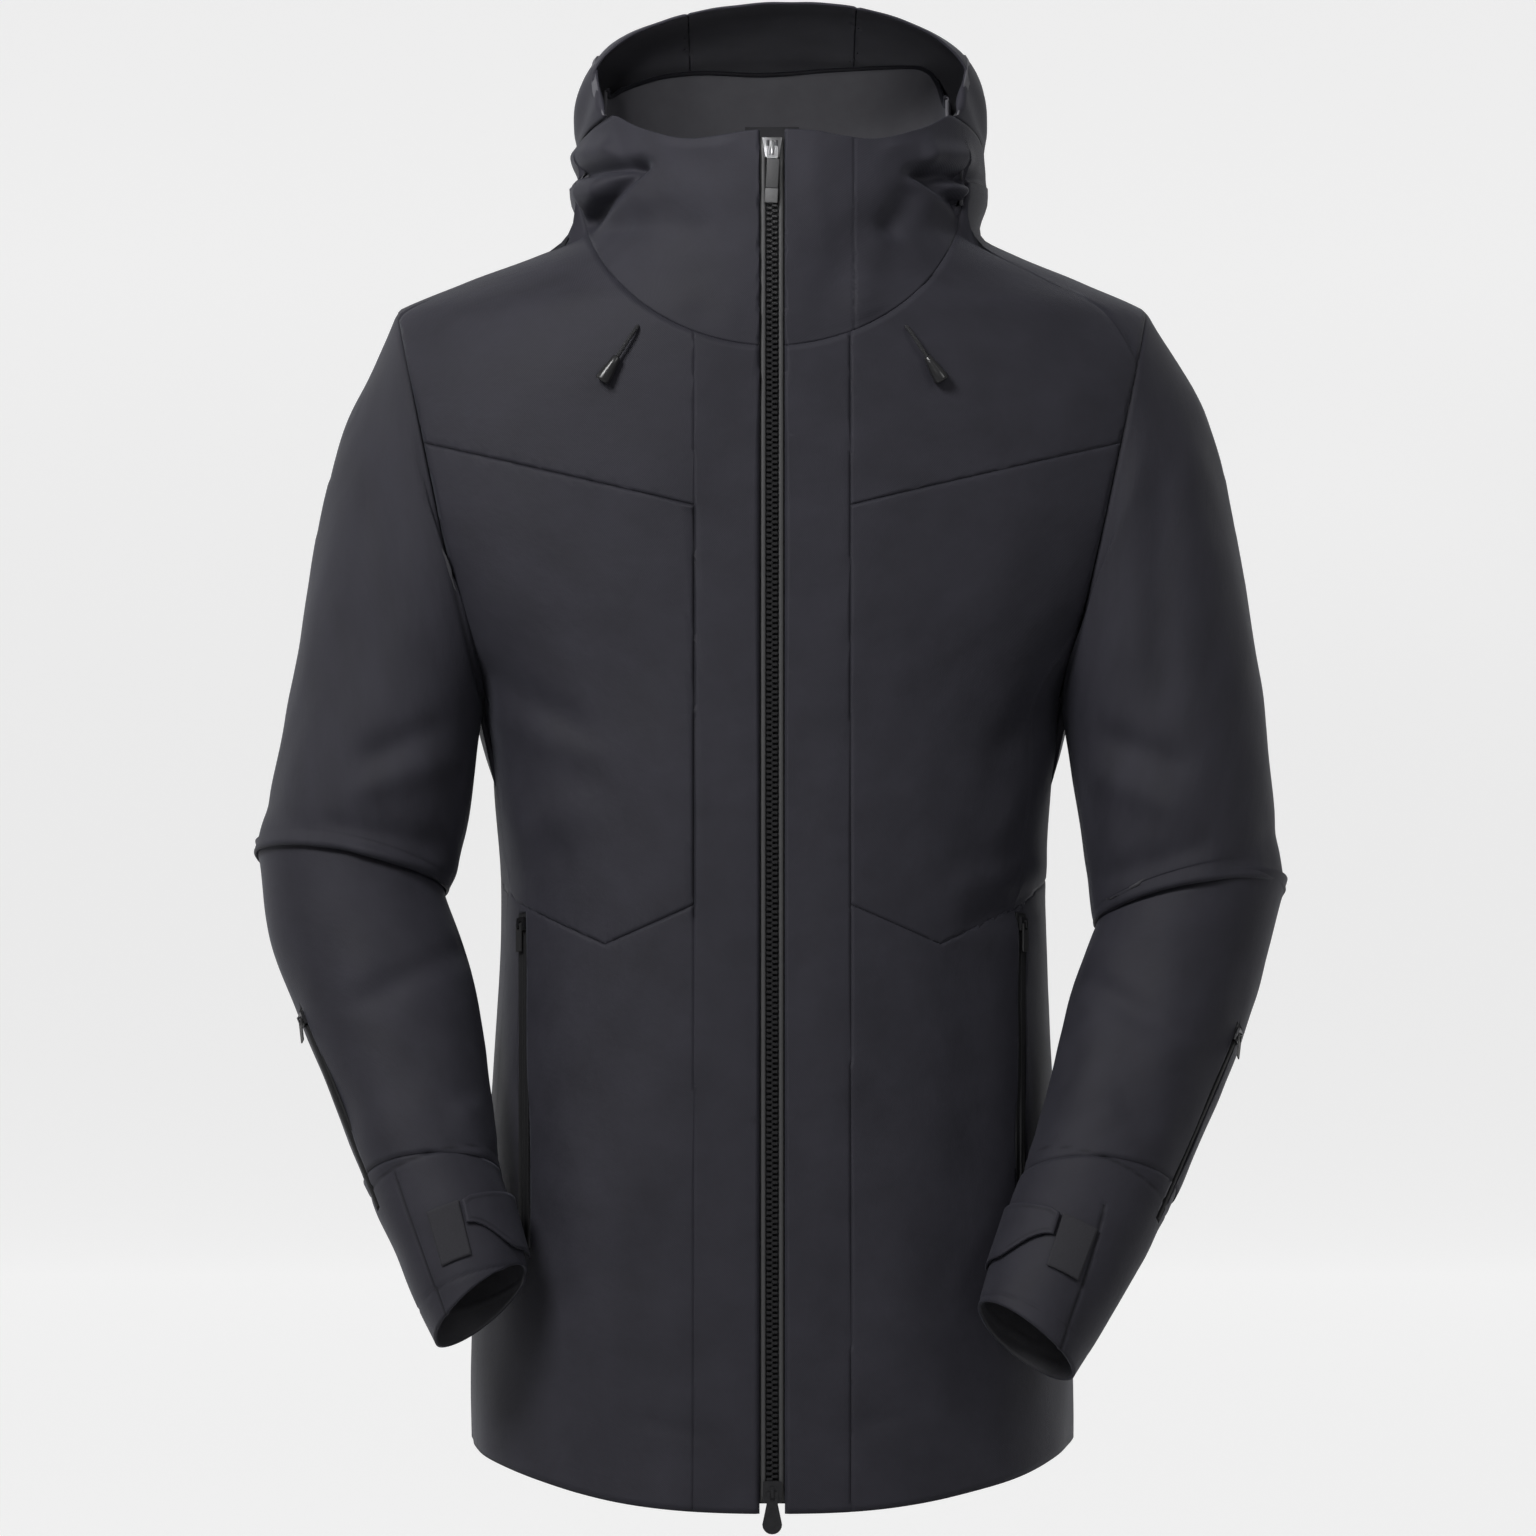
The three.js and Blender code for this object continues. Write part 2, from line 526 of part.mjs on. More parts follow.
// ---- Sleeves ----
// Each station is seen from the front: the outer edge, the inner edge, half the depth, and how far forward it is.
// The two sleeves hang a little differently: the left one's elbow is lower and its cuff lies further in.
const sleeveShapes = {
  right: {
    upper: [
      { out: [232, -79], in: [180, -310], deep: 80, y: 0 },
      { out: [259, -138], in: [181, -322], deep: 82, y: -5 },
      { out: [279, -215], in: [183, -347], deep: 77, y: -14 },
      { out: [294, -300], in: [187, -386], deep: 71, y: -25 },
      { out: [312, -385], in: [194, -422], deep: 65, y: -36 },
      { out: [318, -412], in: [199, -434], deep: 62, y: -41 },
    ],
    fore: [
      { out: [314, -417], in: [200, -438], deep: 58, y: -42 },
      { out: [307, -464], in: [188, -470], deep: 56, y: -51 },
      { out: [287, -515], in: [177, -511], deep: 52, y: -67 },
      { out: [266, -562], in: [170, -557], deep: 47, y: -86 },
      { out: [246, -608], in: [163, -602], deep: 43, y: -107 },
      { out: [223, -658], in: [152, -635], deep: 40, y: -125 },
      { out: [201, -704], in: [148, -656], deep: 38, y: -137 },
    ],
  },
  left: {
    upper: [
      { out: [232, -79], in: [180, -310], deep: 80, y: 0 },
      { out: [267, -138], in: [181, -322], deep: 82, y: -5 },
      { out: [285, -212], in: [183, -346], deep: 77, y: -14 },
      { out: [299, -300], in: [188, -388], deep: 71, y: -25 },
      { out: [311, -400], in: [195, -441], deep: 65, y: -37 },
      { out: [315, -434], in: [198, -454], deep: 62, y: -43 },
    ],
    fore: [
      { out: [312, -439], in: [198, -458], deep: 58, y: -44 },
      { out: [300, -482], in: [186, -486], deep: 55, y: -54 },
      { out: [285, -525], in: [176, -517], deep: 51, y: -69 },
      { out: [267, -566], in: [164, -560], deep: 47, y: -89 },
      { out: [243, -615], in: [149, -606], deep: 43, y: -115 },
      { out: [213, -667], in: [133, -646], deep: 40, y: -143 },
      { out: [178, -722], in: [123, -676], deep: 38, y: -160 },
    ],
  },
};

const sideways = (side) => (p) => new THREE.Vector3(side * p.x, p.y, p.z);

function frameAt(stations, index) {
  const centre = (s) => new THREE.Vector3((s.out[0] + s.in[0]) / 2, s.y, (s.out[1] + s.in[1]) / 2);
  const s = stations[index];
  const along = centre(stations[Math.min(stations.length - 1, index + 1)])
    .sub(centre(stations[Math.max(0, index - 1)])).normalize();
  const wide = new THREE.Vector3((s.out[0] - s.in[0]) / 2, 0, (s.out[1] - s.in[1]) / 2);
  const back = new THREE.Vector3().crossVectors(wide, along).normalize();
  return { middle: centre(s), wide, back, down: new THREE.Vector3().crossVectors(back, wide).normalize() };
}

// One ring of a sleeve, grown outwards by `grow`. Stations are drawn on the +X side, and the right sleeve is mirrored.
function sleeveRing(stations, index, side, grow) {
  const { middle, wide, back } = frameAt(stations, index);
  const half = wide.clone().setLength(wide.length() + grow);
  const deep = back.clone().multiplyScalar(stations[index].deep + grow);
  const ring = [];
  for (let i = 0; i < sleeveSides; i++) {
    const angle = (2 * Math.PI * i) / sleeveSides;
    ring.push(middle.clone().addScaledVector(half, Math.cos(angle)).addScaledVector(deep, Math.sin(angle)));
  }
  return side > 0 ? ring : ring.map(sideways(-1)).reverse();
}

// Moves the two end rings out past the ends of a sleeve by `by`.
function longer(rings, by) {
  const mid = (r) => r.reduce((sum, p) => sum.clone().add(p), new THREE.Vector3()).divideScalar(r.length);
  const push = (ring, from) => {
    const way = mid(ring).sub(mid(from)).normalize().multiplyScalar(by);
    return ring.map((p) => p.clone().add(way));
  };
  return [push(rings[0], rings[1]), ...rings, push(rings.at(-1), rings.at(-2))];
}

const ringsOf = (stations, side, grow) => stations.map((_, i) => sleeveRing(stations, i, side, grow)).reverse();
const skinOf = (stations, side, low, high, by) =>
  solid(loft(longer(ringsOf(stations, side, high), by)))
    .subtract(solid(loft(longer(ringsOf(stations, side, low), by + 12))));

// A flat cut across a sleeve: everything beyond the station's own plane, moved down the arm by `lift`.
function beyond(stations, index, side, lift, sign = 1) {
  const { middle, wide, back, down } = frameAt(stations, index);
  const reach = 260;
  const turn = new THREE.Matrix4().makeBasis(wide.clone().normalize(), down, back);
  const cut = new THREE.BoxGeometry(2 * reach, reach, 2 * reach)
    .translate(0, sign * (reach / 2) + lift, 0)
    .applyMatrix4(turn).translate(middle.x, middle.y, middle.z);
  return side > 0 ? solid(cut) : solid(cut).mirror([1, 0, 0]);
}

// A point on a sleeve's outer skin, on the +X side, `angle` round from its outer edge towards the back.
function skinPoint(stations, at, angle) {
  const on = (index) => {
    const { middle, wide, back } = frameAt(stations, index);
    return middle.addScaledVector(wide, Math.cos(angle))
      .addScaledVector(back, stations[index].deep * Math.sin(angle));
  };
  const low = Math.floor(at);
  return on(low).lerp(on(Math.min(stations.length - 1, low + 1)), at - low);
}

const elbow = 0; // the forearm station where it meets the upper sleeve
const cuffStart = 4; // the forearm station where the cuff is sewn on
const armZip = { from: 1.9, to: 4.4, angle: -0.3, pull: 18 };
const strap = { station: 5, above: 17, below: 19, start: -3.4, end: -1.86, thick: 2 };
const patch = { start: -1.82, end: -1.3, thick: 1 };

// The part of a band round the cuff that lies between two angles, drawn from the middle of the cuff outwards.
function wedge(fore, side, start, end) {
  const { middle, wide, back, down } = frameAt(fore, strap.station);
  const shape = new THREE.Shape([new THREE.Vector2(0, 0)]);
  const steps = 8;
  for (let i = 0; i <= steps; i++) {
    const angle = start + ((end - start) * i) / steps;
    shape.lineTo(90 * Math.cos(angle), 90 * Math.sin(angle));
  }
  const turn = new THREE.Matrix4().makeBasis(wide.clone().normalize(), back, down.clone().negate());
  const made = new THREE.ExtrudeGeometry(shape, { depth: 200, bevelEnabled: false })
    .translate(0, 0, -100).applyMatrix4(turn).translate(middle.x, middle.y, middle.z);
  return side > 0 ? solid(made) : solid(made).mirror([1, 0, 0]);
}

for (const [name, side] of sides) {
  const { upper, fore } = sleeveShapes[name];
  const wrist = fore.length - 1;
  const place = sideways(side);
  const outward = skinPoint(fore, 3, armZip.angle).sub(frameAt(fore, 3).middle);
  const frame = zipFrame(place(skinPoint(fore, armZip.from, armZip.angle)),
    place(skinPoint(fore, armZip.to, armZip.angle)), place(outward));

  const arm = skinOf(upper, side, -wall, 0, 12)
    .subtract(outer.subtract(armholeCut(side, gap)))
    .subtract(armholeRest(side))
    .subtract(beyond(fore, elbow, side, -gap));
  addSolid(`upper_sleeve_${name}`, arm, shellFabric);
  const lower = skinOf(fore, side, -wall, 0, 10)
    .subtract(beyond(fore, elbow, side, 0, -1))
    .subtract(beyond(fore, wrist, side, 0))
    .subtract(slotFor(frame));
  addSolid(`forearm_${name}`, lower.subtract(beyond(fore, cuffStart, side, -gap)), shellFabric);
  addSolid(`cuff_${name}`, lower.intersect(beyond(fore, cuffStart, side, 0)), shellFabric);
  shortZip(`forearm_${name}`, frame, armZip.pull);

  // The strap and its hook patch lie round the cuff, a little off its skin.
  const cuffBand = (thick) => skinOf(fore, side, seat, seat + thick, 10)
    .intersect(beyond(fore, strap.station, side, -strap.above))
    .subtract(beyond(fore, strap.station, side, strap.below));
  addSolid(`cuff_tab_${name}`, cuffBand(strap.thick).intersect(wedge(fore, side, strap.start, strap.end)), shellFabric);
  addSolid(`cuff_patch_${name}`, cuffBand(patch.thick).intersect(wedge(fore, side, patch.start, patch.end)), hookPile);
}

// ---- Hood cords: each leaves an eyelet in the yoke and hangs to its moulded end ----
// The left cord's route, in the plane of the chest: across, out from the fabric, and down from the eyelet.
const eyelet = { x: 81, z: -92 };
const cord = { radius: 1.2 };
const cordRoute = [
  [0, 0.3, 0], [0, 1, -0.1], [0.2, 1.7, -0.3], [0.5, 2.4, -0.8], [1, 3.1, -1.5], [1.8, 3.7, -2.6],
  [2.8, 4.2, -4], [4, 4.6, -5.8], [5.4, 4.9, -7.9], [6.9, 5.1, -10.2], [8.5, 5.3, -12.7], [10.2, 5.4, -15.4],
  [12, 5.5, -18.1], [13.8, 5.5, -20.9], [15.6, 5.5, -23.7], [17.2, 5.5, -26.2],
];
const cordEnd = { top: 2.2, foot: 4, length: 20, hole: 1.5, holeDepth: 9.5 };
for (const [name, side] of sides) {
  const y = surfaceY(eyelet.x, eyelet.z);
  const route = cordRoute.map(([x, out, z]) => new THREE.Vector3(side * (eyelet.x + x), y - out, eyelet.z + z));
  const curve = new THREE.CatmullRomCurve3(route, false, "centripetal");
  const section = new THREE.Shape();
  for (let i = 0; i < 8; i++) {
    const angle = (Math.PI * i) / 4;
    const at = [cord.radius * Math.cos(angle), cord.radius * Math.sin(angle)];
    if (i) section.lineTo(...at);
    else section.moveTo(...at);
  }
  const tube = new THREE.ExtrudeGeometry(section, { steps: 8, extrudePath: curve, bevelEnabled: false });
  add(`hood_cord_${name}`, facesOut(tube), cordBlack);

  const { top: topR, foot, length, hole, holeDepth } = cordEnd;
  const profile = [
    [0, 0], [foot - 1, 0], [foot, 1.2], [topR, length], [hole, length], [hole, length - holeDepth],
    [0, length - holeDepth]].map(([r, h]) => new THREE.Vector2(r, h));
  const way = route.at(-1).clone().sub(route.at(-2)).normalize();
  const foot0 = route.at(-1).clone().addScaledVector(way, length - holeDepth + seat);
  const turn = new THREE.Quaternion().setFromUnitVectors(new THREE.Vector3(0, 1, 0), way.negate());
  const barrel = new THREE.LatheGeometry(profile, 16).applyQuaternion(turn).translate(foot0.x, foot0.y, foot0.z);
  add(`hood_cord_end_${name}`, facesOut(barrel), endPlastic);
}

// The hang loop's underside becomes the origin, so every point of the record is measured from there.
jacket.position.set(0, -(loopFront + loopBack) / 2, 0);
export default jacket;
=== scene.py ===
# %% [markdown]
# # A hooded ski jacket
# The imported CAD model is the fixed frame: it says where each panel, zip and cord is, and which
# body each one moves with. Blender adds what the eye looks for on cloth: soft folds, seams
# that sink a little, woven texture and real zip teeth.

# %% Load the frame
import math

import bmesh
import bpy
from mathutils import Matrix, Vector, noise


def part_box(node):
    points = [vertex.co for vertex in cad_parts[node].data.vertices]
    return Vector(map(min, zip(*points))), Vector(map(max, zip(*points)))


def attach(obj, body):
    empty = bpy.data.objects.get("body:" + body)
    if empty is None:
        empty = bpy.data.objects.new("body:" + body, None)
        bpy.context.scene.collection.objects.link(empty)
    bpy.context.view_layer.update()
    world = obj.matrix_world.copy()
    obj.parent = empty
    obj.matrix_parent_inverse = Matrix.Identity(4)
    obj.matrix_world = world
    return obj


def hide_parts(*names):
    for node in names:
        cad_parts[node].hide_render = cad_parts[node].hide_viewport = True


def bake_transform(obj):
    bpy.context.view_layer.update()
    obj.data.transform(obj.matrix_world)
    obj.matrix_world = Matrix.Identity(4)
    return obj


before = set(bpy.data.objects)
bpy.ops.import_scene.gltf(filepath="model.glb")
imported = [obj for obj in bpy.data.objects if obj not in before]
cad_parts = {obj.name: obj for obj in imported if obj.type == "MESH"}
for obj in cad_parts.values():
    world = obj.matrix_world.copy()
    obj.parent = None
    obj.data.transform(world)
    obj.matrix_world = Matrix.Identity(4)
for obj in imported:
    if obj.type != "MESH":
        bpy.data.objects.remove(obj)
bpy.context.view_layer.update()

# %% [markdown]
# The pattern measures are in millimetres, drawn round the wearer's body with its middle at
# zero. The frame's zero is the hang loop at the back of the neck, 66 mm further back, so one
# small function turns a pattern point into a frame point.

# %% From pattern millimetres to frame metres
NECK_TO_LOOP = 66


def at(x, y, z):
    return Vector((x, y - NECK_TO_LOOP, z)) * 0.001


def pattern_point(v):
    return v.x * 1000, v.y * 1000 + NECK_TO_LOOP, v.z * 1000


def smooth(t):
    t = min(1.0, max(0.0, t))
    return t * t * (3 - 2 * t)


def mix(a, b, t):
    return a + (b - a) * t


def read_rows(rows, where):
    """A smooth value between rows of (place, value, value, ...)."""
    last = len(rows) - 1
    i = 0
    while i < last - 1 and where > rows[i + 1][0]:
        i += 1
    a, b = rows[i], rows[i + 1]
    before, after = rows[max(0, i - 1)], rows[min(last, i + 2)]
    step = b[0] - a[0]
    t = min(1.0, max(0.0, (where - a[0]) / step))
    found = []
    for k in range(1, len(a)):
        m0 = (b[k] - before[k]) / (b[0] - before[0]) * step
        m1 = (after[k] - a[k]) / (after[0] - a[0]) * step
        t2, t3 = t * t, t * t * t
        found.append((2 * t3 - 3 * t2 + 1) * a[k] + (t3 - 2 * t2 + t) * m0
                     + (3 * t2 - 2 * t3) * b[k] + (t3 - t2) * m1)
    return found


# %% [markdown]
# The camera comes first. It stands four metres in front of the chest with a long lens, so the
# jacket is seen nearly flat on, as in a shop's catalogue. A pale floor runs back and curves up
# into a wall, which gives one even background with no line where they meet.

# %% Camera and pale studio
camera_data = bpy.data.cameras.new("studio_camera")
camera_data.sensor_width = 36
camera_data.lens = 151.3
camera = bpy.data.objects.new("studio_camera", camera_data)
camera.location = (-0.0025, -4.066, -0.358)
camera.rotation_euler = (math.radians(90), 0, 0)
camera_data.clip_end = 50
bpy.context.scene.collection.objects.link(camera)
bpy.context.scene.camera = camera


def new_object(name, bm):
    """A mesh object at the origin, made from a finished bmesh."""
    mesh = bpy.data.meshes.new(name)
    bm.to_mesh(mesh)
    bm.free()
    made = bpy.data.objects.new(name, mesh)
    bpy.context.scene.collection.objects.link(made)
    for face in mesh.polygons:
        face.use_smooth = True
    return made


# The paper lies under the jacket and rises well behind it, so that a camera can stand behind too.
FLOOR_HEIGHT, PAPER_FRONT, PAPER_BACK, PAPER_TOP = -1.1, -8, 7, 9
PAPER_HALF_WIDTH = 11
PAPER_CURVE = 1.6
PAPER_GREY = 0.44
GLOW_STARTS, GLOW_FULL, GLOW_STRENGTH = -0.6, 1.2, 0.66


def sweep_floor():
    bm = bmesh.new()
    corners = [bm.verts.new((-PAPER_HALF_WIDTH, y, z)) for y, z in (
        (PAPER_FRONT, FLOOR_HEIGHT), (PAPER_BACK, FLOOR_HEIGHT), (PAPER_BACK, PAPER_TOP))]
    for i in range(2):
        bm.edges.new((corners[i], corners[i + 1]))
    bmesh.ops.bevel(bm, geom=[corners[1]], offset=PAPER_CURVE, segments=24, profile=0.5,
                    affect="VERTICES", material=-1)
    pulled = bmesh.ops.extrude_edge_only(bm, edges=list(bm.edges))
    for v in [g for g in pulled["geom"] if isinstance(g, bmesh.types.BMVert)]:
        v.co.x = PAPER_HALF_WIDTH
    bmesh.ops.recalc_face_normals(bm, faces=list(bm.faces))
    return new_object("studio_floor", bm)


def pale_sweep():
    """White paper that glows a little towards the back, like a lit studio wall."""
    paper = bpy.data.materials.new("pale_sweep")
    paper.use_nodes = True
    tree = paper.node_tree
    shader = tree.nodes["Principled BSDF"]
    shader.inputs["Base Color"].default_value = (PAPER_GREY, PAPER_GREY, PAPER_GREY, 1)
    shader.inputs["Roughness"].default_value = 0.9
    shader.inputs["Emission Color"].default_value = (1, 1, 1, 1)
    place = tree.nodes.new("ShaderNodeTexCoord")
    parts = tree.nodes.new("ShaderNodeSeparateXYZ")
    glow = tree.nodes.new("ShaderNodeMapRange")
    glow.inputs["From Min"].default_value = GLOW_STARTS
    glow.inputs["From Max"].default_value = GLOW_FULL
    glow.inputs["To Min"].default_value = 0.0
    glow.inputs["To Max"].default_value = GLOW_STRENGTH
    tree.links.new(place.outputs["Object"], parts.inputs[0])
    tree.links.new(parts.outputs["Y"], glow.inputs["Value"])
    tree.links.new(glow.outputs["Result"], shader.inputs["Emission Strength"])
    return paper


floor = sweep_floor()
floor.data.materials.append(pale_sweep())
print("floor faces:", len(floor.data.polygons))


# %% [markdown]
# Soft light comes from a large panel high on the left, with a weaker one on the right and a
# pale room all round. Charcoal cloth only shows its folds when one side is clearly brighter. A
# narrow soft spot reaches into the hood, where the lining would otherwise go black.

# %% Lights
def soft_light(name, place, aim, size, power, tint=(1, 1, 1)):
    data = bpy.data.lights.new(name, "AREA")
    data.shape, data.size, data.energy, data.color = "SQUARE", size, power, tint
    lamp = bpy.data.objects.new(name, data)
    lamp.location = place
    lamp.rotation_euler = (Vector(aim) - Vector(place)).to_track_quat("-Z", "Y").to_euler()
    bpy.context.scene.collection.objects.link(lamp)
    return lamp


soft_light("key_panel", (-1.15, -1.7, 1.15), (-0.08, 0, 0.0), 0.8, 38)
soft_light("side_panel", (1.5, -1.9, 0.9), (0.15, 0, -0.1), 0.8, 6)
soft_light("edge_panel", (-1.7, 0.6, 0.3), (-0.2, 0, -0.4), 1.2, 2.5)

opening = bpy.data.lights.new("hood_spot", "SPOT")
opening.energy, opening.spot_size, opening.spot_blend = 130, math.radians(5.0), 0.8
opening.shadow_soft_size = 0.12
hood_spot = bpy.data.objects.new("hood_spot", opening)
hood_spot.location = (-0.35, -2.6, 0.16)
hood_spot.rotation_euler = (Vector((0.0, 0, 0.088)) - hood_spot.location).to_track_quat(
    "-Z", "Y").to_euler()
bpy.context.scene.collection.objects.link(hood_spot)

world = bpy.data.worlds.new("pale_room")
world.use_nodes = True
world.node_tree.nodes["Background"].inputs["Color"].default_value = (0.86, 0.86, 0.86, 1)
world.node_tree.nodes["Background"].inputs["Strength"].default_value = 0.17
bpy.context.scene.world = world
bpy.context.scene.view_settings.view_transform = "Standard"

# %% [markdown]
# ## Finishes
# Each finish is a small node tree. The same three tools build most of them: waves for the
# crossing threads, noise for uneven dye and wear, and a bump node that turns both into relief.


# %% Helpers for finishes
def blank_finish(name, colour, roughness, metallic=0.0):
    made = bpy.data.materials.new(name)
    made.use_nodes = True
    tree = made.node_tree
    shader = tree.nodes["Principled BSDF"]
    shader.inputs["Base Color"].default_value = (*colour, 1)
    shader.inputs["Roughness"].default_value = roughness
    shader.inputs["Metallic"].default_value = metallic
    return made, tree, shader


def add_node(tree, kind, **settings):
    node = tree.nodes.new(kind)
    for key, value in settings.items():
        if key in node.inputs:
            node.inputs[key].default_value = value
        else:
            setattr(node, key, value)
    return node


def maths(tree, operation, first, second=None):
    node = tree.nodes.new("ShaderNodeMath")
    node.operation = operation
    for socket, value in zip(node.inputs, (first, second)):
        if value is None:
            continue
        if isinstance(value, (int, float)):
            socket.default_value = value
        else:
            tree.links.new(value, socket)
    return node.outputs[0]


def two_tone(tree, factor, dark, light):
    node = tree.nodes.new("ShaderNodeMix")
    node.data_type = "RGBA"
    node.inputs[6].default_value = (*dark, 1)
    node.inputs[7].default_value = (*light, 1)
    tree.links.new(factor, node.inputs[0])
    return node.outputs[2]


def relief(tree, shader, height, distance, strength=1.0):
    node = tree.nodes.new("ShaderNodeBump")
    node.inputs["Distance"].default_value = distance
    node.inputs["Strength"].default_value = strength
    tree.links.new(height, node.inputs["Height"])
    tree.links.new(node.outputs["Normal"], shader.inputs["Normal"])


def cloth_axes(tree, uv_name):
    """The two cloth directions in metres: across and along."""
    uv = tree.nodes.new("ShaderNodeUVMap")
    uv.uv_map = uv_name
    parts = tree.nodes.new("ShaderNodeSeparateXYZ")
    tree.links.new(uv.outputs["UV"], parts.inputs[0])
    return uv.outputs["UV"], parts.outputs["X"], parts.outputs["Y"]


# %% [markdown]
# The shell is a tight twill: threads cross on a slant, about one rib a millimetre. Over it lie
# two slower noises, one for how the dye takes and one for fine creasing in the coated cloth.
# Where a seam runs, a stored distance darkens a thin line as painted shade in the seam's groove,
# and lets the cloth sink beside it.

# %% Twill shell cloth
CLOTH_UV = "cloth"
SEAM = "seam_distance"


def twill_cloth(name, dark, light, rib, sheen, slant=1.0, seams=True, roughness=0.66):
    made, tree, shader = blank_finish(name, light, roughness)
    uv, across, along = cloth_axes(tree, CLOTH_UV)
    slanted = maths(tree, "ADD", maths(tree, "MULTIPLY", across, slant), along)
    turns = maths(tree, "MULTIPLY", slanted, 2 * math.pi / rib)
    ribs = maths(tree, "MULTIPLY_ADD", maths(tree, "SINE", turns), 0.5)
    ribs.node.inputs[2].default_value = 0.5
    picks = maths(tree, "SINE", maths(tree, "MULTIPLY", across, 2 * math.pi / (rib * 0.71)))
    weave = maths(tree, "ADD", ribs, maths(tree, "MULTIPLY", picks, 0.22))
    dye = add_node(tree, "ShaderNodeTexNoise", Scale=26.0, Detail=4.0, Roughness=0.6)
    tree.links.new(uv, dye.inputs["Vector"])
    crease = add_node(tree, "ShaderNodeTexNoise", Scale=110.0, Detail=5.0, Roughness=0.62)
    tree.links.new(uv, crease.inputs["Vector"])
    tone = maths(tree, "ADD", maths(tree, "MULTIPLY", ribs, 0.30),
                 maths(tree, "MULTIPLY", dye.outputs["Fac"], 0.70))
    # Painted shade: the colour darkens towards a seam, standing in for the shadow in its groove.
    if seams:
        distance = tree.nodes.new("ShaderNodeAttribute")
        distance.attribute_name = SEAM
        near = maths(tree, "DIVIDE", distance.outputs["Fac"], 0.0016)
        near.node.use_clamp = True
        tone = maths(tree, "MULTIPLY", tone, near)
    tree.links.new(two_tone(tree, tone, dark, light), shader.inputs["Base Color"])
    height = maths(tree, "ADD", maths(tree, "MULTIPLY", weave, 0.16),
                   maths(tree, "MULTIPLY", crease.outputs["Fac"], 0.9))
    relief(tree, shader, height, 0.00055, 0.55)
    rough = maths(tree, "MULTIPLY_ADD", dye.outputs["Fac"], 0.16)
    rough.node.inputs[2].default_value = roughness - 0.08
    tree.links.new(rough, shader.inputs["Roughness"])
    shader.inputs["Sheen Weight"].default_value = sheen
    shader.inputs["Sheen Roughness"].default_value = 0.45
    shader.inputs["Sheen Tint"].default_value = (0.72, 0.76, 0.9, 1)
    shader.inputs["Specular IOR Level"].default_value = 0.32
    return made


shell = twill_cloth("charcoal_shell", (0.0123, 0.0120, 0.0168), (0.0495, 0.0480, 0.0640),
                    0.00105, 0.08)
# Painted light: the hood and collar lining is a much paler copy of the lining, standing in for
# light that does not reach inside the hood.
painted_light_lining = twill_cloth("paler_lining_painted_light", (0.070, 0.069, 0.078), (0.190, 0.188, 0.210), 0.0006,
                          0.06, slant=0.0, seams=False, roughness=0.6)
lining = twill_cloth("smooth_lining", (0.030, 0.030, 0.034), (0.085, 0.084, 0.095), 0.0006, 0.06,
                     slant=0.0, seams=False, roughness=0.52)
print("shell and lining cloth made")

# %% [markdown]
# The small finishes: knitted zip tape, moulded plastic teeth, soft rubber pullers, polished and
# blackened metal, the looped side of a touch strap, and braided elastic.


# %% Finishes for the fittings
def speckled(name, dark, light, roughness, grain, depth, metallic=0.0, coat=0.0):
    made, tree, shader = blank_finish(name, light, roughness, metallic)
    spots = add_node(tree, "ShaderNodeTexNoise", Scale=grain, Detail=4.0, Roughness=0.6)
    place = tree.nodes.new("ShaderNodeTexCoord")
    tree.links.new(place.outputs["Object"], spots.inputs["Vector"])
    tree.links.new(two_tone(tree, spots.outputs["Fac"], dark, light), shader.inputs["Base Color"])
    relief(tree, shader, spots.outputs["Fac"], depth, 0.4)
    shader.inputs["Coat Weight"].default_value = coat
    shader.inputs["Coat Roughness"].default_value = 0.2
    return made


def ribbed(name, dark, light, roughness, pitch, axis, depth, sheen=0.0):
    """Threads or loops that run across one direction of the object."""
    made, tree, shader = blank_finish(name, light, roughness)
    place = tree.nodes.new("ShaderNodeTexCoord")
    parts = tree.nodes.new("ShaderNodeSeparateXYZ")
    tree.links.new(place.outputs["Object"], parts.inputs[0])
    other = {"X": "Z", "Y": "Z", "Z": "X"}[axis]
    rows = maths(tree, "SINE", maths(tree, "MULTIPLY", parts.outputs[axis], 2 * math.pi / pitch))
    cross = maths(tree, "SINE", maths(tree, "MULTIPLY", parts.outputs[other],
                                      2 * math.pi / pitch * 0.8))
    knit = maths(tree, "MULTIPLY_ADD", maths(tree, "MULTIPLY", rows, cross), 0.5)
    knit.node.inputs[2].default_value = 0.5
    tree.links.new(two_tone(tree, knit, dark, light), shader.inputs["Base Color"])
    relief(tree, shader, knit, depth, 0.7)
    shader.inputs["Sheen Weight"].default_value = sheen
    return made


zip_tape = ribbed("knitted_zip_tape", (0.012, 0.012, 0.013), (0.036, 0.036, 0.038), 0.72,
                  0.0012, "Z", 0.0002, 0.05)
zip_welt = speckled("rubbed_zip_edge", (0.055, 0.055, 0.056), (0.10, 0.10, 0.102), 0.42, 700,
                    0.00006)
tooth_plastic = speckled("moulded_tooth", (0.013, 0.013, 0.014), (0.024, 0.024, 0.026), 0.34, 900,
                         0.00003, coat=0.25)
pull_rubber = speckled("soft_pull_rubber", (0.022, 0.022, 0.023), (0.036, 0.036, 0.037), 0.55,
                       900, 0.00004)
grey_rubber = speckled("grey_pull_rubber", (0.060, 0.060, 0.062), (0.085, 0.085, 0.088), 0.5, 900,
                       0.00004)
pale_rubber = speckled("pale_pull_rubber", (0.12, 0.12, 0.122), (0.17, 0.17, 0.173), 0.45, 900,
                       0.00004)
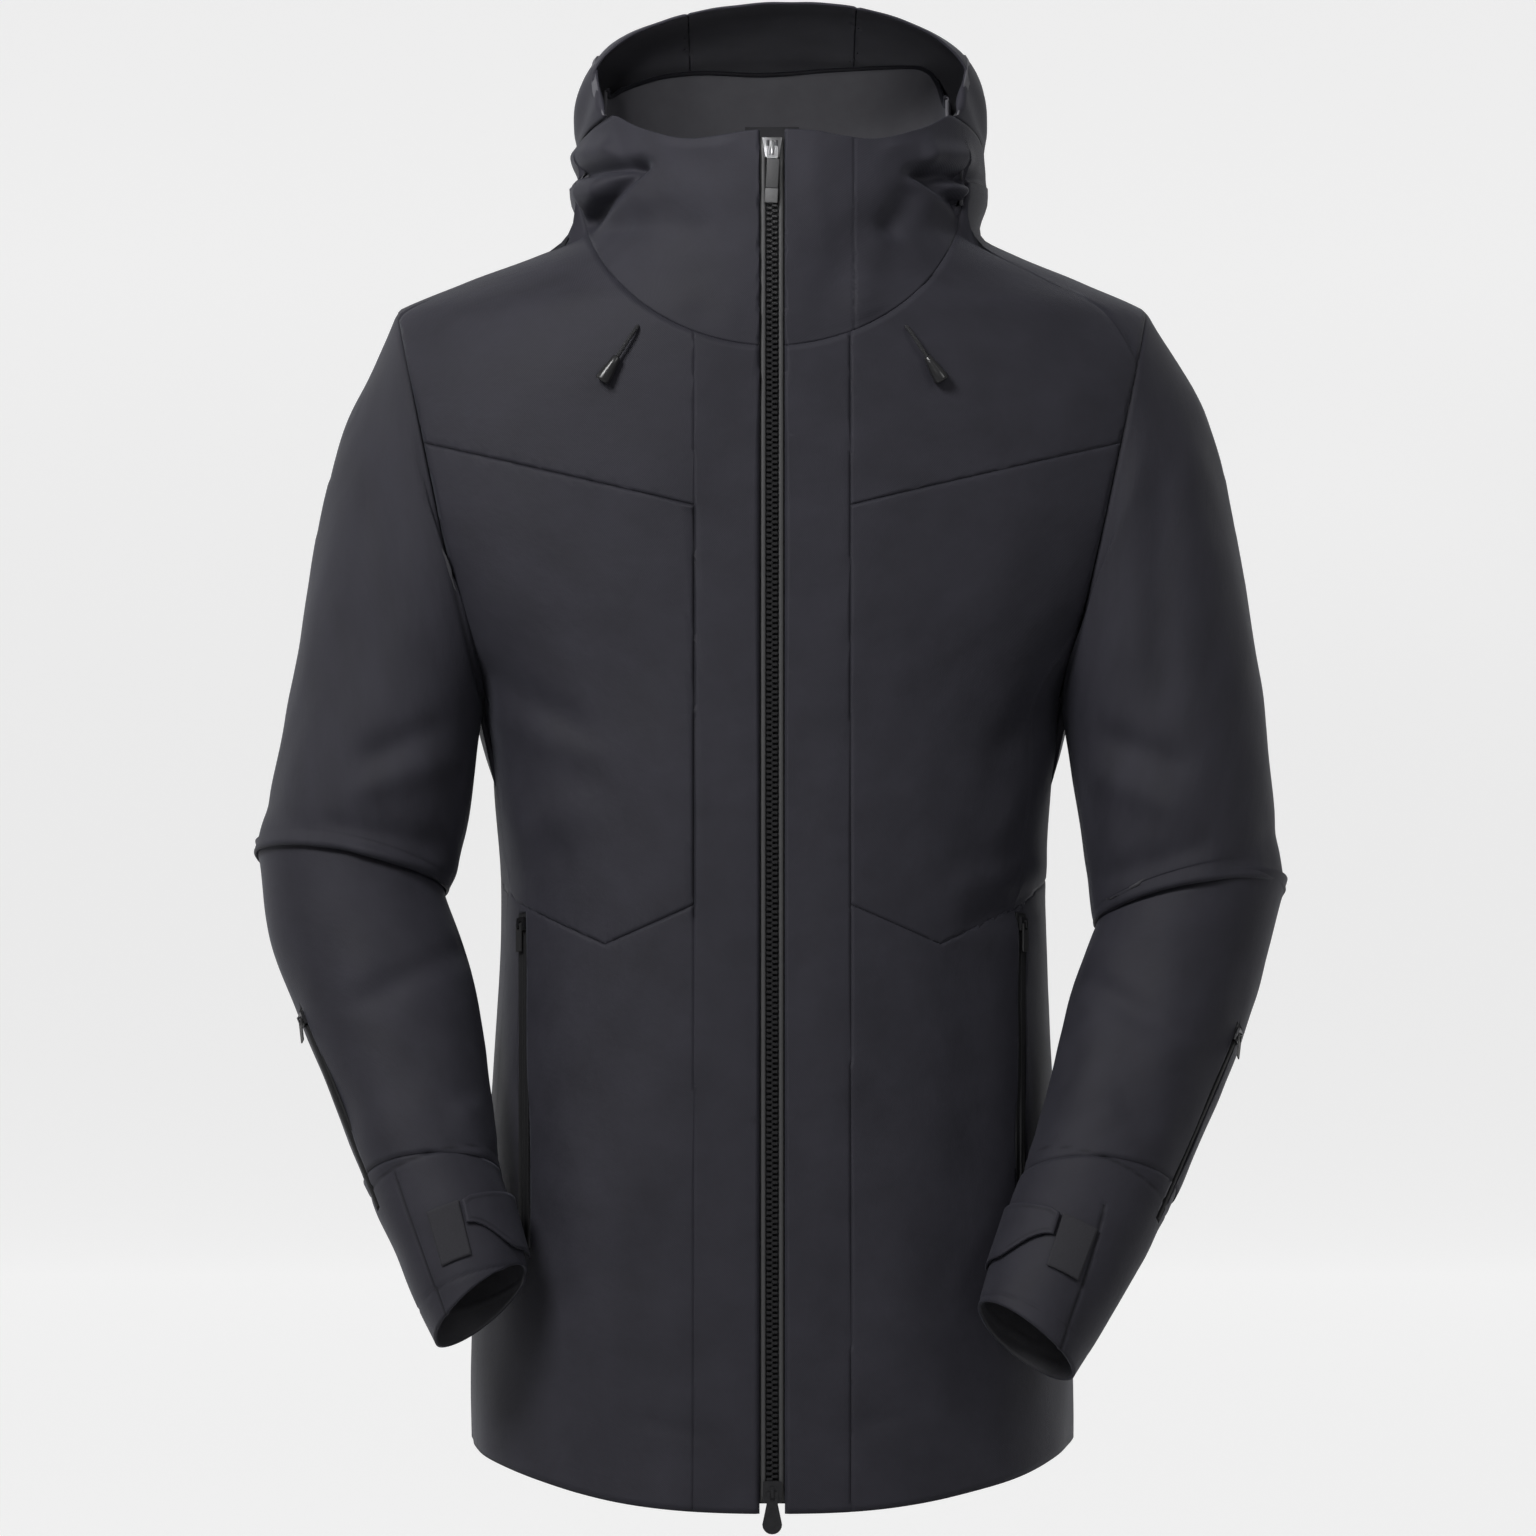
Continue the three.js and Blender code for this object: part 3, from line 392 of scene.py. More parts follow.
pocket_tape = speckled("pocket_zip_tape", (0.004, 0.004, 0.005), (0.010, 0.010, 0.012), 0.8, 900,
                       0.00003)
silver = speckled("polished_silver", (0.26, 0.26, 0.27), (0.40, 0.40, 0.41), 0.30, 260, 0.00002,
                  metallic=1.0)
dark_metal = speckled("blackened_metal", (0.06, 0.06, 0.065), (0.11, 0.11, 0.115), 0.34, 400,
                      0.00003, metallic=0.9)
loop_pile = speckled("looped_touch_tape", (0.016, 0.016, 0.019), (0.055, 0.054, 0.064), 0.9, 2400,
                     0.0004)
end_plastic = speckled("cord_end_plastic", (0.016, 0.016, 0.017), (0.028, 0.028, 0.03), 0.3, 600,
                       0.00003, coat=0.3)


def braid():
    made, tree, shader = blank_finish("braided_elastic", (0.03, 0.03, 0.034), 0.7)
    uv, around, along = cloth_axes(tree, CLOTH_UV)
    one = maths(tree, "SINE", maths(tree, "MULTIPLY", maths(tree, "ADD", around, along),
                                    2 * math.pi / 0.0013))
    two = maths(tree, "SINE", maths(tree, "MULTIPLY", maths(tree, "SUBTRACT", around, along),
                                    2 * math.pi / 0.0013))
    plaits = maths(tree, "MAXIMUM", one, two)
    tree.links.new(two_tone(tree, plaits, (0.014, 0.014, 0.016), (0.05, 0.05, 0.055)),
                   shader.inputs["Base Color"])
    relief(tree, shader, plaits, 0.00025, 0.8)
    return made


braided = braid()
print("finishes:", len(bpy.data.materials))


# %% [markdown]
# ## Hood cords
# Two short elastic cords come out of eyelets where the hood meets the chest and hang over the
# cloth, each with a moulded end. A swept tube along the route is right here: the route's points
# are fixed, so a small ring is carried from point to point and the rings are bridged.

# %% A tube along a route
def turned_ring(bm, middle, along, radius, sides):
    ring = bmesh.ops.create_circle(bm, cap_ends=False, radius=radius, segments=sides)["verts"]
    turn = along.to_track_quat("Z", "X").to_matrix().to_4x4()
    bmesh.ops.transform(bm, matrix=Matrix.Translation(middle) @ turn, verts=ring)
    return ring


def ring_edges(bm, ring):
    chosen = set(ring)
    return [e for e in bm.edges if e.verts[0] in chosen and e.verts[1] in chosen]


def tube(route, radii, sides=12, closed_ends=True):
    bm = bmesh.new()
    rings = []
    for i, point in enumerate(route):
        along = (route[min(i + 1, len(route) - 1)] - route[max(i - 1, 0)]).normalized()
        radius = radii if isinstance(radii, float) else radii[i]
        rings.append(turned_ring(bm, point, along, radius, sides))
    loops = [ring_edges(bm, ring) for ring in rings]
    for a, b in zip(loops, loops[1:]):
        bmesh.ops.bridge_loops(bm, edges=a + b)
    if closed_ends:
        bmesh.ops.contextual_create(bm, geom=loops[0])
        bmesh.ops.contextual_create(bm, geom=loops[-1])
    bmesh.ops.recalc_face_normals(bm, faces=list(bm.faces))
    return bm


def unwrap_tube(bm, route, radius):
    """Cloth coordinates for a cord: across is round the tube, along is down its length."""
    uv = bm.loops.layers.uv.new(CLOTH_UV)
    lengths = [0.0]
    for a, b in zip(route, route[1:]):
        lengths.append(lengths[-1] + (b - a).length)
    for face in bm.faces:
        for loop in face.loops:
            near = min(range(len(route)), key=lambda i: (route[i] - loop.vert.co).length)
            away = loop.vert.co - route[near]
            loop[uv].uv = (math.atan2(away.x, -away.y) * radius, lengths[near])


def finish_piece(made, materials, body, replaced=()):
    for m in materials:
        made.data.materials.append(m)
    if body:
        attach(made, body)
    if replaced:
        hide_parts(*replaced)
    return made


# %% The two cords and their ends
CORD_EXIT = (81, -109.5, -92)
CORD_STEPS = [(0, 0.3, 0), (0, 1, -0.1), (0.2, 1.7, -0.3), (0.5, 2.4, -0.8), (1, 3.1, -1.5),
              (1.8, 3.7, -2.6), (2.8, 4.2, -4), (4, 4.6, -5.8), (5.4, 4.9, -7.9),
              (6.9, 5.1, -10.2), (8.5, 5.3, -12.7), (10.2, 5.4, -15.4), (12, 5.5, -18.1),
              (13.8, 5.5, -20.9), (15.6, 5.5, -23.7), (17.2, 5.5, -26.2)]


def cord_route(side):
    x, y, z = CORD_EXIT
    return [at(side * (x + across), y - out, z + up) for across, out, up in CORD_STEPS]


def cord_end(side, route):
    """A bell that widens downwards, with a hollow foot."""
    down = (route[-1] - route[-3]).normalized()
    top = route[-1] - down * 0.0092
    profile = [(0.0, 0.0013), (0.0, 0.0020), (0.0006, 0.0025), (0.0050, 0.0030),
               (0.0110, 0.0041), (0.0160, 0.0047), (0.0172, 0.0045), (0.0172, 0.0032),
               (0.0145, 0.0028)]
    stops = [top + down * along for along, radius in profile]
    bm = bmesh.new()
    loops = []
    for stop, (along, radius) in zip(stops, profile):
        loops.append(ring_edges(bm, turned_ring(bm, stop, down, radius, 20)))
    for a, b in zip(loops, loops[1:]):
        bmesh.ops.bridge_loops(bm, edges=a + b)
    bmesh.ops.contextual_create(bm, geom=loops[-1])
    bmesh.ops.contextual_create(bm, geom=loops[0])
    bmesh.ops.recalc_face_normals(bm, faces=list(bm.faces))
    return new_object(f"cord_end_{WORN[side]}", bm)


WORN = {-1: "right", 1: "left"}
for side in (-1, 1):
    route = cord_route(side)
    bm = tube(route, 0.0012)
    unwrap_tube(bm, route, 0.0012)
    end = finish_piece(cord_end(side, route), [end_plastic], f"draw_cord_{WORN[side]}",
                       [f"hood_cord_end_{WORN[side]}"])
    cord = finish_piece(new_object(f"draw_cord_{WORN[side]}", bm), [braided],
                        f"draw_cord_{WORN[side]}", [f"hood_cord_{WORN[side]}"])

# %% [markdown]
# ## The body of the jacket
# Cloth hangs round the chest as a rounded box that changes all the way down. Each row below
# gives, at a height, the half width, the depth at the back, how square the ring is, and how
# far its middle is shifted. The front line is the zip's own straight line. One function then
# says where the cloth is for any direction and height, and every panel reads it.

# %% Rings of the body
BODY_ROWS = [(-806, 185, 146, 2.5, 0), (-700, 185, 141, 2.5, 0), (-560, 174, 129, 2.45, 0),
             (-450, 168, 121, 2.4, 0), (-380, 171, 121, 2.4, 0), (-310, 182, 124, 2.4, 0),
             (-250, 222, 124, 2.35, 0), (-190, 252, 121, 2.25, 0), (-130, 258, 113, 2.05, 0),
             (-80, 238, 100, 1.75, 0), (-58, 192, 94, 1.65, 1), (-42, 150, 89, 1.8, 3),
             (-30, 125, 89, 2.0, 5), (-9, 129, 100, 2.1, 4.5), (3, 129.5, 108, 2.1, 4),
             (24, 126, 121, 2.1, 5.5), (50, 126, 130, 2.1, 5), (80, 125, 128, 2.1, 6),
             (120, 125, 124, 2.1, 9)]
FRONT_ROWS = [(-810, 158.7), (26, 112), (60, 109), (120, 106)]
CROWN_START, CROWN_HEIGHT = 40, 76.4


def ring_size(z):
    half, back, power, middle = read_rows(BODY_ROWS, z)
    if z <= 26:
        front = 112 + (26 - z) * 46 / 823
    else:
        front = read_rows(FRONT_ROWS, z)[0]
    return half, back, front, power, middle


def ring_point(turn, z):
    """The cloth at one height: turn is 0 at the wearer's left, 90 at the back."""
    half, back, front, power, middle = ring_size(z)
    c, s = math.cos(turn), math.sin(turn)
    x = middle + half * math.copysign(abs(c) ** (2 / power), c)
    y = (front if s < 0 else back) * math.copysign(abs(s) ** (2 / power), s)
    return x, y, z


NECK_HALF, NECK_DROP = 118, 104


def neck_seam_height(x, y):
    if y > 0:
        return -30 * min(1.0, y / 140)
    if abs(x) >= NECK_HALF:
        return 0.0
    return -NECK_DROP * math.sqrt(1 - (x / NECK_HALF) ** 2)


def hem_height(turn):
    """The hem is lowest at the centre front, lifts at the sides and drops at the back."""
    s = math.sin(turn)
    if s < 0:
        return -773 - 29 * (-s) ** 2.2
    return -773 - 27 * smooth(s * 1.1)


def neck_on_column(turn):
    low, high = -125.0, 10.0
    for _ in range(30):
        mid = (low + high) / 2
        x, y, z = ring_point(turn, mid)
        if z < neck_seam_height(x, y):
            low = mid
        else:
            high = mid
    return low


def even_turns(count, z=-400):
    """Directions that are evenly spaced along the cloth, starting at the centre front."""
    fine = [ring_point(-math.pi / 2 + 2 * math.pi * i / 2000, z) for i in range(2001)]
    run = [0.0]
    for a, b in zip(fine, fine[1:]):
        run.append(run[-1] + math.dist(a, b))
    turns, i = [], 0
    for k in range(count + 1):
        want = run[-1] * k / count
        while i < 1999 and run[i + 1] < want:
            i += 1
        part = (want - run[i]) / max(1e-9, run[i + 1] - run[i])
        turns.append(-math.pi / 2 + 2 * math.pi * (i + part) / 2000)
    return turns


# %% [markdown]
# A flat grid is the simplest start for wrapped cloth: its own two directions already are
# "across" and "along". Each grid point is moved to its place on the body, and the distances
# walked on the way become the cloth's UV map in metres, so the weave keeps one scale.


# %% Wrap a grid round the body
def wrapped_grid(columns, rows, place):
    """A bmesh grid whose point (column, row) goes to place(column, row), with a cloth UV."""
    bm = bmesh.new()
    bmesh.ops.create_grid(bm, x_segments=columns, y_segments=rows, size=1)
    where = {}
    for v in bm.verts:
        where[v] = (round((v.co.x + 1) / 2 * columns), round((v.co.y + 1) / 2 * rows))
    points = [[at(*place(i, j)) for j in range(rows + 1)] for i in range(columns + 1)]
    along = [[0.0] for _ in points]
    for i, column in enumerate(points):
        for a, b in zip(column, column[1:]):
            along[i].append(along[i][-1] + (b - a).length)
    middle = rows // 2
    across = [0.0]
    for a, b in zip(points, points[1:]):
        across.append(across[-1] + (b[middle] - a[middle]).length)
    uv = bm.loops.layers.uv.new(CLOTH_UV)
    for face in bm.faces:
        for loop in face.loops:
            i, j = where[loop.vert]
            loop[uv].uv = (across[i], along[i][j])
    for v, (i, j) in where.items():
        v.co = points[i][j]
    return bm


BODY_COLUMNS, BODY_ROWS_DOWN = 216, 176
body_turns = even_turns(BODY_COLUMNS)


def body_columns():
    """For each direction, heights spaced evenly along the cloth from hem to neck seam."""
    found = []
    for turn in body_turns:
        low, high = hem_height(turn), neck_on_column(turn)
        fine = [mix(low, high, k / 300) for k in range(301)]
        places = [ring_point(turn, z) for z in fine]
        run = [0.0]
        for a, b in zip(places, places[1:]):
            run.append(run[-1] + math.dist(a, b))
        heights, i = [], 0
        for k in range(BODY_ROWS_DOWN + 1):
            want = run[-1] * k / BODY_ROWS_DOWN
            while i < 299 and run[i + 1] < want:
                i += 1
            part = (want - run[i]) / max(1e-9, run[i + 1] - run[i])
            heights.append(mix(fine[i], fine[i + 1], part))
        found.append(heights)
    return found


column_heights = body_columns()
body_bm = wrapped_grid(BODY_COLUMNS, BODY_ROWS_DOWN,
                       lambda i, j: ring_point(body_turns[i], column_heights[i][j]))
bmesh.ops.remove_doubles(body_bm, verts=body_bm.verts, dist=0.00002)
bmesh.ops.recalc_face_normals(body_bm, faces=list(body_bm.faces))
print("body grid:", len(body_bm.faces), "faces")

# %% [markdown]
# Seams are cut into the wrapped cloth with straight planes, each with a twin on either side a
# couple of millimetres away. The middle cut is the seam itself and the twins keep the dip that
# it makes narrow. A plane that must not cross the whole jacket only gets the faces it needs.

# %% Seam lines
DIP = 2.2
PLACKET = 47
ZIP_GAP = 7.5
ZIP_LIP = 2.4  # the turned edge of cloth beside the zip
YOKE = ((47, -200), (210, -161))
POCKET_FOOT = [(47, -440), (101, -464), (153, -441), (185, -414)]
BACK_YOKE = -175
ARMHOLE = ((231, -78), (179, -310))


def cut(bm, wanted, point, normal, twins=DIP):
    """Cuts the wanted faces with a plane, and with a twin on each side of it."""
    normal = Vector(normal).normalized()
    for shift in ((-twins, 0, twins) if twins else (0,)):
        faces = [f for f in bm.faces if wanted(*pattern_point(f.calc_center_median()))]
        geom = set(faces)
        for f in faces:
            geom.update(f.edges)
            geom.update(f.verts)
        bmesh.ops.bisect_plane(bm, geom=list(geom), dist=0.00001,
                               plane_co=at(*point) + normal * shift * 0.001, plane_no=normal)


def line_cut(bm, a, b, reach=14):
    """A seam drawn on the front between two points (x, z), on both sides of the zip."""
    for side in (-1, 1):
        low, high = sorted((a[0], b[0]))
        lowest, highest = min(a[1], b[1]) - reach, max(a[1], b[1]) + reach
        normal = (-(b[1] - a[1]) * side, 0, b[0] - a[0])
        cut(bm, lambda x, y, z: (y < 0 and low - 5 < x * side < high + 5
                                 and lowest < z < highest),
            (a[0] * side, 0, a[1]), normal)


for side in (-1, 1):
    cut(body_bm, lambda x, y, z: y < 0 and abs(x) < PLACKET + 12, (side * PLACKET, 0, 0),
        (1, 0, 0))
    cut(body_bm, lambda x, y, z: y < 0 and abs(x) < 20, (side * ZIP_GAP, 0, 0), (1, 0, 0), 0)
    cut(body_bm, lambda x, y, z: y < 0 and abs(x) < 20, (side * (ZIP_GAP + ZIP_LIP), 0, 0),
        (1, 0, 0), 0)
line_cut(body_bm, *YOKE)
for a, b in zip(POCKET_FOOT, POCKET_FOOT[1:]):
    line_cut(body_bm, a, b)
cut(body_bm, lambda x, y, z: y > -8 and abs(z - BACK_YOKE) < 15, (0, 0, BACK_YOKE), (0, 0, 1))
cut(body_bm, lambda x, y, z: abs(y) < 10, (0, 0, 0), (0, 1, 0))
print("after the seams:", len(body_bm.faces), "faces")

# %% [markdown]
# The armholes are cut away where the sleeves begin, and the strip in front of the zip comes out.
# Then each point learns how far it is from the nearest seam. That distance does two jobs: it
# pulls the cloth in by less than a millimetre here, and later it darkens the line in the finish as
# painted shade.

# %% Armholes, zip gap and seam distances
ARM_SLOPE = (ARMHOLE[0][0] - ARMHOLE[1][0]) / (ARMHOLE[0][1] - ARMHOLE[1][1])


def armhole_side(x, z):
    """Above zero outside the armhole plane, in millimetres along X."""
    return abs(x) - (ARMHOLE[0][0] + (z - ARMHOLE[0][1]) * ARM_SLOPE)


def armhole_normal(side):
    return Vector((side, 0, -ARM_SLOPE)).normalized()


for side in (-1, 1):
    for shift, clear in ((-3.0, False), (0.0, True)):
        faces = [f for f in body_bm.faces
                 if (lambda p: p[2] > -311 and p[0] * side > 150)(
                     pattern_point(f.calc_center_median()))]
        geom = set(faces)
        for f in faces:
            geom.update(f.edges)
            geom.update(f.verts)
        normal = armhole_normal(side)
        bmesh.ops.bisect_plane(body_bm, geom=list(geom), dist=0.00001, clear_outer=clear,
                               plane_co=at(side * ARMHOLE[0][0], 0, ARMHOLE[0][1])
                               + normal * shift * 0.001, plane_no=normal)
gap_faces = [f for f in body_bm.faces
             if (lambda p: p[1] < 0 and abs(p[0]) < ZIP_GAP)(pattern_point(f.calc_center_median()))]
bmesh.ops.delete(body_bm, geom=gap_faces, context="FACES")


def front_depth(x, z):
    """How far forward the cloth stands at a place on the chest."""
    half, _, front, power, middle = ring_size(z)
    return -front * max(0.0, 1 - (abs(x - middle) / half) ** power) ** (1 / power)


def open_slot(bm, foot, head, outward, half):
    """Cuts a long narrow window for a pocket zip and clears the cloth inside it."""
    length = (head - foot).length
    along = (head - foot).normalized()
    out = (outward - along * outward.dot(along)).normalized()
    across = along.cross(out)

    def shares(x, y, z):
        p = Vector((x, y, z)) - foot
        return p.dot(along), p.dot(across), p.dot(out)

    def near(x, y, z):
        up, wide, deep = shares(x, y, z)
        return -14 < up < length + 14 and abs(wide) < 16 and abs(deep) < 25

    for shift in (-half - 2.0, -half, half, half + 2.0):
        cut(bm, near, tuple(foot + across * shift), across, 0)
    for point in (foot, head):
        cut(bm, near, tuple(point), along, 0)
    inside = []
    for f in bm.faces:
        up, wide, deep = shares(*pattern_point(f.calc_center_median()))
        if 0 < up < length and abs(wide) < half and abs(deep) < 25:
            inside.append(f)
    bmesh.ops.delete(bm, geom=inside, context="FACES")
    return len(inside)


HAND_ZIP = ((151, -648), (152, -446))
for side in (-1, 1):
    low, high = (Vector((side * x, front_depth(x, z), z)) for x, z in HAND_ZIP)
    cleared = open_slot(body_bm, low, high, Vector((side * 0.83, -0.55, 0)), 5.0)
    print("pocket slot: faces cleared", cleared)


def segment_distance(x, z, a, b):
    dx, dz = b[0] - a[0], b[1] - a[1]
    t = min(1.0, max(0.0, ((x - a[0]) * dx + (z - a[1]) * dz) / (dx * dx + dz * dz)))
    return math.hypot(x - a[0] - t * dx, z - a[1] - t * dz)


def body_seam_distance(x, y, z):
    """Millimetres to the nearest seam. A finer seam counts as a little further away."""
    near = [abs(y) + 0.9 if z < -300 else 99.0]
    if y < 1:
        u = abs(x)
        pocket_mouth = x < 0 and -447 < z < -202
        near.append(abs(u - PLACKET) + (0.0 if pocket_mouth else 1.0 if x > 0 else 2.3))
        near.append(segment_distance(u, z, *YOKE) + 0.8)
        near += [segment_distance(u, z, a, b) + 0.9 for a, b in zip(POCKET_FOOT, POCKET_FOOT[1:])]
        if u < NECK_HALF + 12:
            faint = 1.9 if u > 50 else 2.6
            near.append(abs(z - neck_seam_height(x, y)) * 0.8 + faint)
    else:
        near.append(abs(z - BACK_YOKE) + 0.6)
        near.append(abs(z - neck_seam_height(x, y)) + 0.6 if abs(x) < 135 else 99.0)
    if z > -315:
        near.append(abs(armhole_side(x, z)) + 0.5)
    return min(near)


def sink_seams(bm, distance, depth=1.0):
    layer = bm.verts.layers.float.new(SEAM)
    bm.normal_update()
    moves = []
    for v in bm.verts:
        d = distance(*pattern_point(v.co))
        v[layer] = d * 0.001
        moves.append((v, -v.normal * depth * 0.001 * max(0.0, 1 - d / DIP)))
    for v, move in moves:
        v.co += move


# %% [markdown]
# Folds are shaped the way a sculptor would do it, with a few soft strokes. A stroke is a line
# across the cloth with a width and a height; points near it rise or sink along their normals.
# Broad strokes make the hang of the jacket, and a slow noise takes away the machine-made look.

# %% Sculpting strokes
def stroke_height(x, z, strokes):
    total = 0.0
    for (ax, az), (bx, bz), width, height in strokes:
        dx, dz = bx - ax, bz - az
        t = ((x - ax) * dx + (z - az) * dz) / (dx * dx + dz * dz)
        off = abs((x - ax) * dz - (z - az) * dx) / math.hypot(dx, dz)
        ends = smooth((t + 0.25) / 0.4) * smooth((1.25 - t) / 0.4)
        total += height * ends * math.exp(-(off / width) ** 2)
    return total


FRONT_FOLDS = [
    ((-176, -300), (-120, -330), 9, -2.6), ((-170, -330), (-105, -352), 10, 2.0),
    ((-160, -392), (-110, -384), 14, 2.0), ((-166, -430), (-128, -404), 11, -2.0),
    ((176, -302), (140, -345), 10, -3.0), ((172, -340), (138, -400), 12, 2.6),
    ((166, -418), (112, -430), 10, 2.4), ((164, -436), (120, -452), 8, -2.6),
    ((150, -452), (140, -560), 16, 2.2), ((120, -520), (126, -700), 20, -2.0),
    ((-152, -560), (-140, -690), 18, -2.4), ((-118, -600), (-110, -760), 22, 2.4),
    ((-70, -640), (-62, -800), 26, -1.8), ((70, -600), (84, -790), 24, 1.8),
    ((128, -640), (138, -790), 18, 2.4), ((-80, -748), (-42, -755), 5, -0.8),
    ((44, -752), (82, -742), 5, -0.8), ((-30, -300), (-26, -640), 16, -0.9),
    ((30, -330), (26, -700), 14, 1.0),
]
BACK_FOLDS = [
    ((-176, -300), (-60, -350), 18, -3.5), ((176, -300), (64, -352), 18, -3.5),
    ((-150, -380), (-40, -410), 20, 2.5), ((150, -384), (30, -420), 20, 2.5),
    ((-90, -520), (-100, -780), 26, -3.0), ((0, -480), (8, -790), 30, 2.5),
    ((96, -520), (104, -780), 26, -3.0), ((-60, -120), (60, -120), 20, -1.5),
]


def soften(bm, height):
    """Moves every point along its normal by height(x, y, z) millimetres."""
    bm.normal_update()
    moves = [(v, v.normal * height(*pattern_point(v.co)) * 0.001) for v in bm.verts]
    for v, move in moves:
        v.co += move


def body_fold(x, y, z):
    folds = FRONT_FOLDS if y < 0 else BACK_FOLDS
    amount = stroke_height(x, z, folds) * smooth(abs(y) / 40)
    slow = noise.noise(Vector((x * 0.011, y * 0.011 + 3, z * 0.006)))
    brisk = noise.noise(Vector((x * 0.035 + 7, y * 0.035, z * 0.022)))
    zip_hold = smooth((abs(x) - 8) / 40) if y < 0 else 1.0
    hem = smooth((-690 - z) / 110)
    wave = math.sin(math.atan2(y, x) * 9 + 0.6) * 1.6 * hem
    return (amount + slow * 2.2 + brisk * 0.7 + wave) * zip_hold * smooth((-z - 40) / 60)


soften(body_bm, body_fold)
sink_seams(body_bm, body_seam_distance)


def zip_fold(bm):
    """The placket's free edge turns in over the tape."""
    for v in bm.verts:
        x, y, z = pattern_point(v.co)
        if y < 0 and abs(x) < ZIP_GAP + 0.3:
            v.co.y += 0.0016


zip_fold(body_bm)

# %% Sort the faces into panels
def above(line, x, z):
    (ax, az), (bx, bz) = line
    return z > az + (x - ax) * (bz - az) / (bx - ax)


def body_panel(x, y, z):
    if y > 0:
        return "back_yoke" if z > BACK_YOKE else "back_panel"
    worn = "left" if x > 0 else "right"
    u = abs(x)
    if u < PLACKET:
        return f"placket_{worn}"
    if above(YOKE, u, z):
        return f"yoke_{worn}"
    for a, b in zip(POCKET_FOOT, POCKET_FOOT[1:]):
        if a[0] <= u < b[0]:
            return f"{'chest_panel' if above((a, b), u, z) else 'front_lower'}_{worn}"
    return f"{'chest_panel' if z > POCKET_FOOT[-1][1] else 'front_lower'}_{worn}"


def split_panels(bm, sorter):
    """One bmesh per panel name, from copies of the whole with the other faces removed."""
    groups = {}
    bm.faces.ensure_lookup_table()
    for i, face in enumerate(bm.faces):
        groups.setdefault(sorter(*pattern_point(face.calc_center_median())), set()).add(i)
    made = {}
    for name, keep in sorted(groups.items()):
        part = bm.copy()
        part.faces.ensure_lookup_table()
        rest = [f for i, f in enumerate(part.faces) if i not in keep]
        bmesh.ops.delete(part, geom=rest, context="FACES")
        made[name] = part
    return made


def give_thickness(piece, thickness=1.2):
    wall = piece.modifiers.new("cloth_thickness", "SOLIDIFY")
    wall.thickness = thickness * 0.001
    wall.offset = -1
    wall.use_rim = True
    wall.material_offset = 1
    wall.material_offset_rim = 0
    return piece


made_panels = {}
for name, part in split_panels(body_bm, body_panel).items():
    piece = finish_piece(new_object(f"{name}_cloth", part), [shell, lining], "jacket_body",
                         [name])
    made_panels[name] = give_thickness(piece)
    print(name, len(piece.data.polygons))
body_bm.free()

# %% [markdown]
# ## Collar and hood
# The head part is a dome that carries on from the neck. Its shape is one rule: a point is inside
# when its side, depth and height shares add up to less than one. The collar's rings climb to
# the hood line, and the hood is found by looking out from the middle of the head along fans of
# directions until the rule says the cloth is reached. Both read the same rule, so they meet.

# %% The head shape
HEAD = (5.0, 0.0, 22.0)
HOOD_TILT = 0.27  # the hood line drops this much for each step back


def head_share(x, y, z):
    half, back, front, power, middle = ring_size(z)
    share = (abs(x - middle) / half) ** power + (abs(y) / (front if y < 0 else back)) ** power
    lifted = z + 0.14 * (y + 62) * smooth((z - 30) / 50)
    if lifted > CROWN_START:
        share += ((lifted - CROWN_START) / CROWN_HEIGHT) ** 3.6
    return share


def head_reach(spread, swing):
    """Where the cloth is, looking out: spread is to the side, swing is from up to forwards."""
    aim = (math.sin(spread), -math.cos(spread) * math.sin(swing),
           math.cos(spread) * math.cos(swing))
    near, far = 30.0, 230.0
    for _ in range(28):
        mid = (near + far) / 2
        if head_share(*(HEAD[k] + aim[k] * mid for k in range(3))) < 1:
            near = mid
        else:
            far = mid
    return tuple(HEAD[k] + aim[k] * near for k in range(3))


# %% [markdown]
# The face opening is drawn from the side, as a line from the chin up over the brow. Each point
# of it is turned into a look-out direction, and the fans of the hood start there, so the brim
# is a clean edge of the grid and needs no trimming afterwards.

# %% Hood grid from brim to nape
BRIM_ROWS = [(39, -62), (44, -57), (50, -52), (60, -46), (72, -43.5), (84.7, -47), (95, -52),
             (103, -57), (107.7, -60), (110.5, -62)]


def brim_directions(count):
    """(spread, swing) pairs from the top middle down to the hood line, evenly spaced."""
    line = []
    for k in range(400):
        z = 110.2 - (110.2 - 39.2) * (k / 399) ** 1.6
        y = read_rows(BRIM_ROWS, z)[0]
        left = 1 - head_share(HEAD[0], y, z) + (abs(HEAD[0] - ring_size(z)[4])
                                                / ring_size(z)[0]) ** ring_size(z)[3]
        half, _, _, power, middle = ring_size(z)
        x = half * max(0.0, left) ** (1 / power)
        up = z - HEAD[2]
        line.append((math.atan2(x, math.hypot(y, up)), math.atan2(-y, up)))
    line[0] = (0.0, line[0][1])
    run = [0.0]
    for a, b in zip(line, line[1:]):
        run.append(run[-1] + math.dist(a, b))
    found, i = [], 0
    for k in range(count + 1):
        want = run[-1] * k / count
        while i < len(run) - 2 and run[i + 1] < want:
            i += 1
        part = (want - run[i]) / max(1e-9, run[i + 1] - run[i])
        found.append((mix(line[i][0], line[i + 1][0], part), mix(line[i][1], line[i + 1][1], part)))
    return found


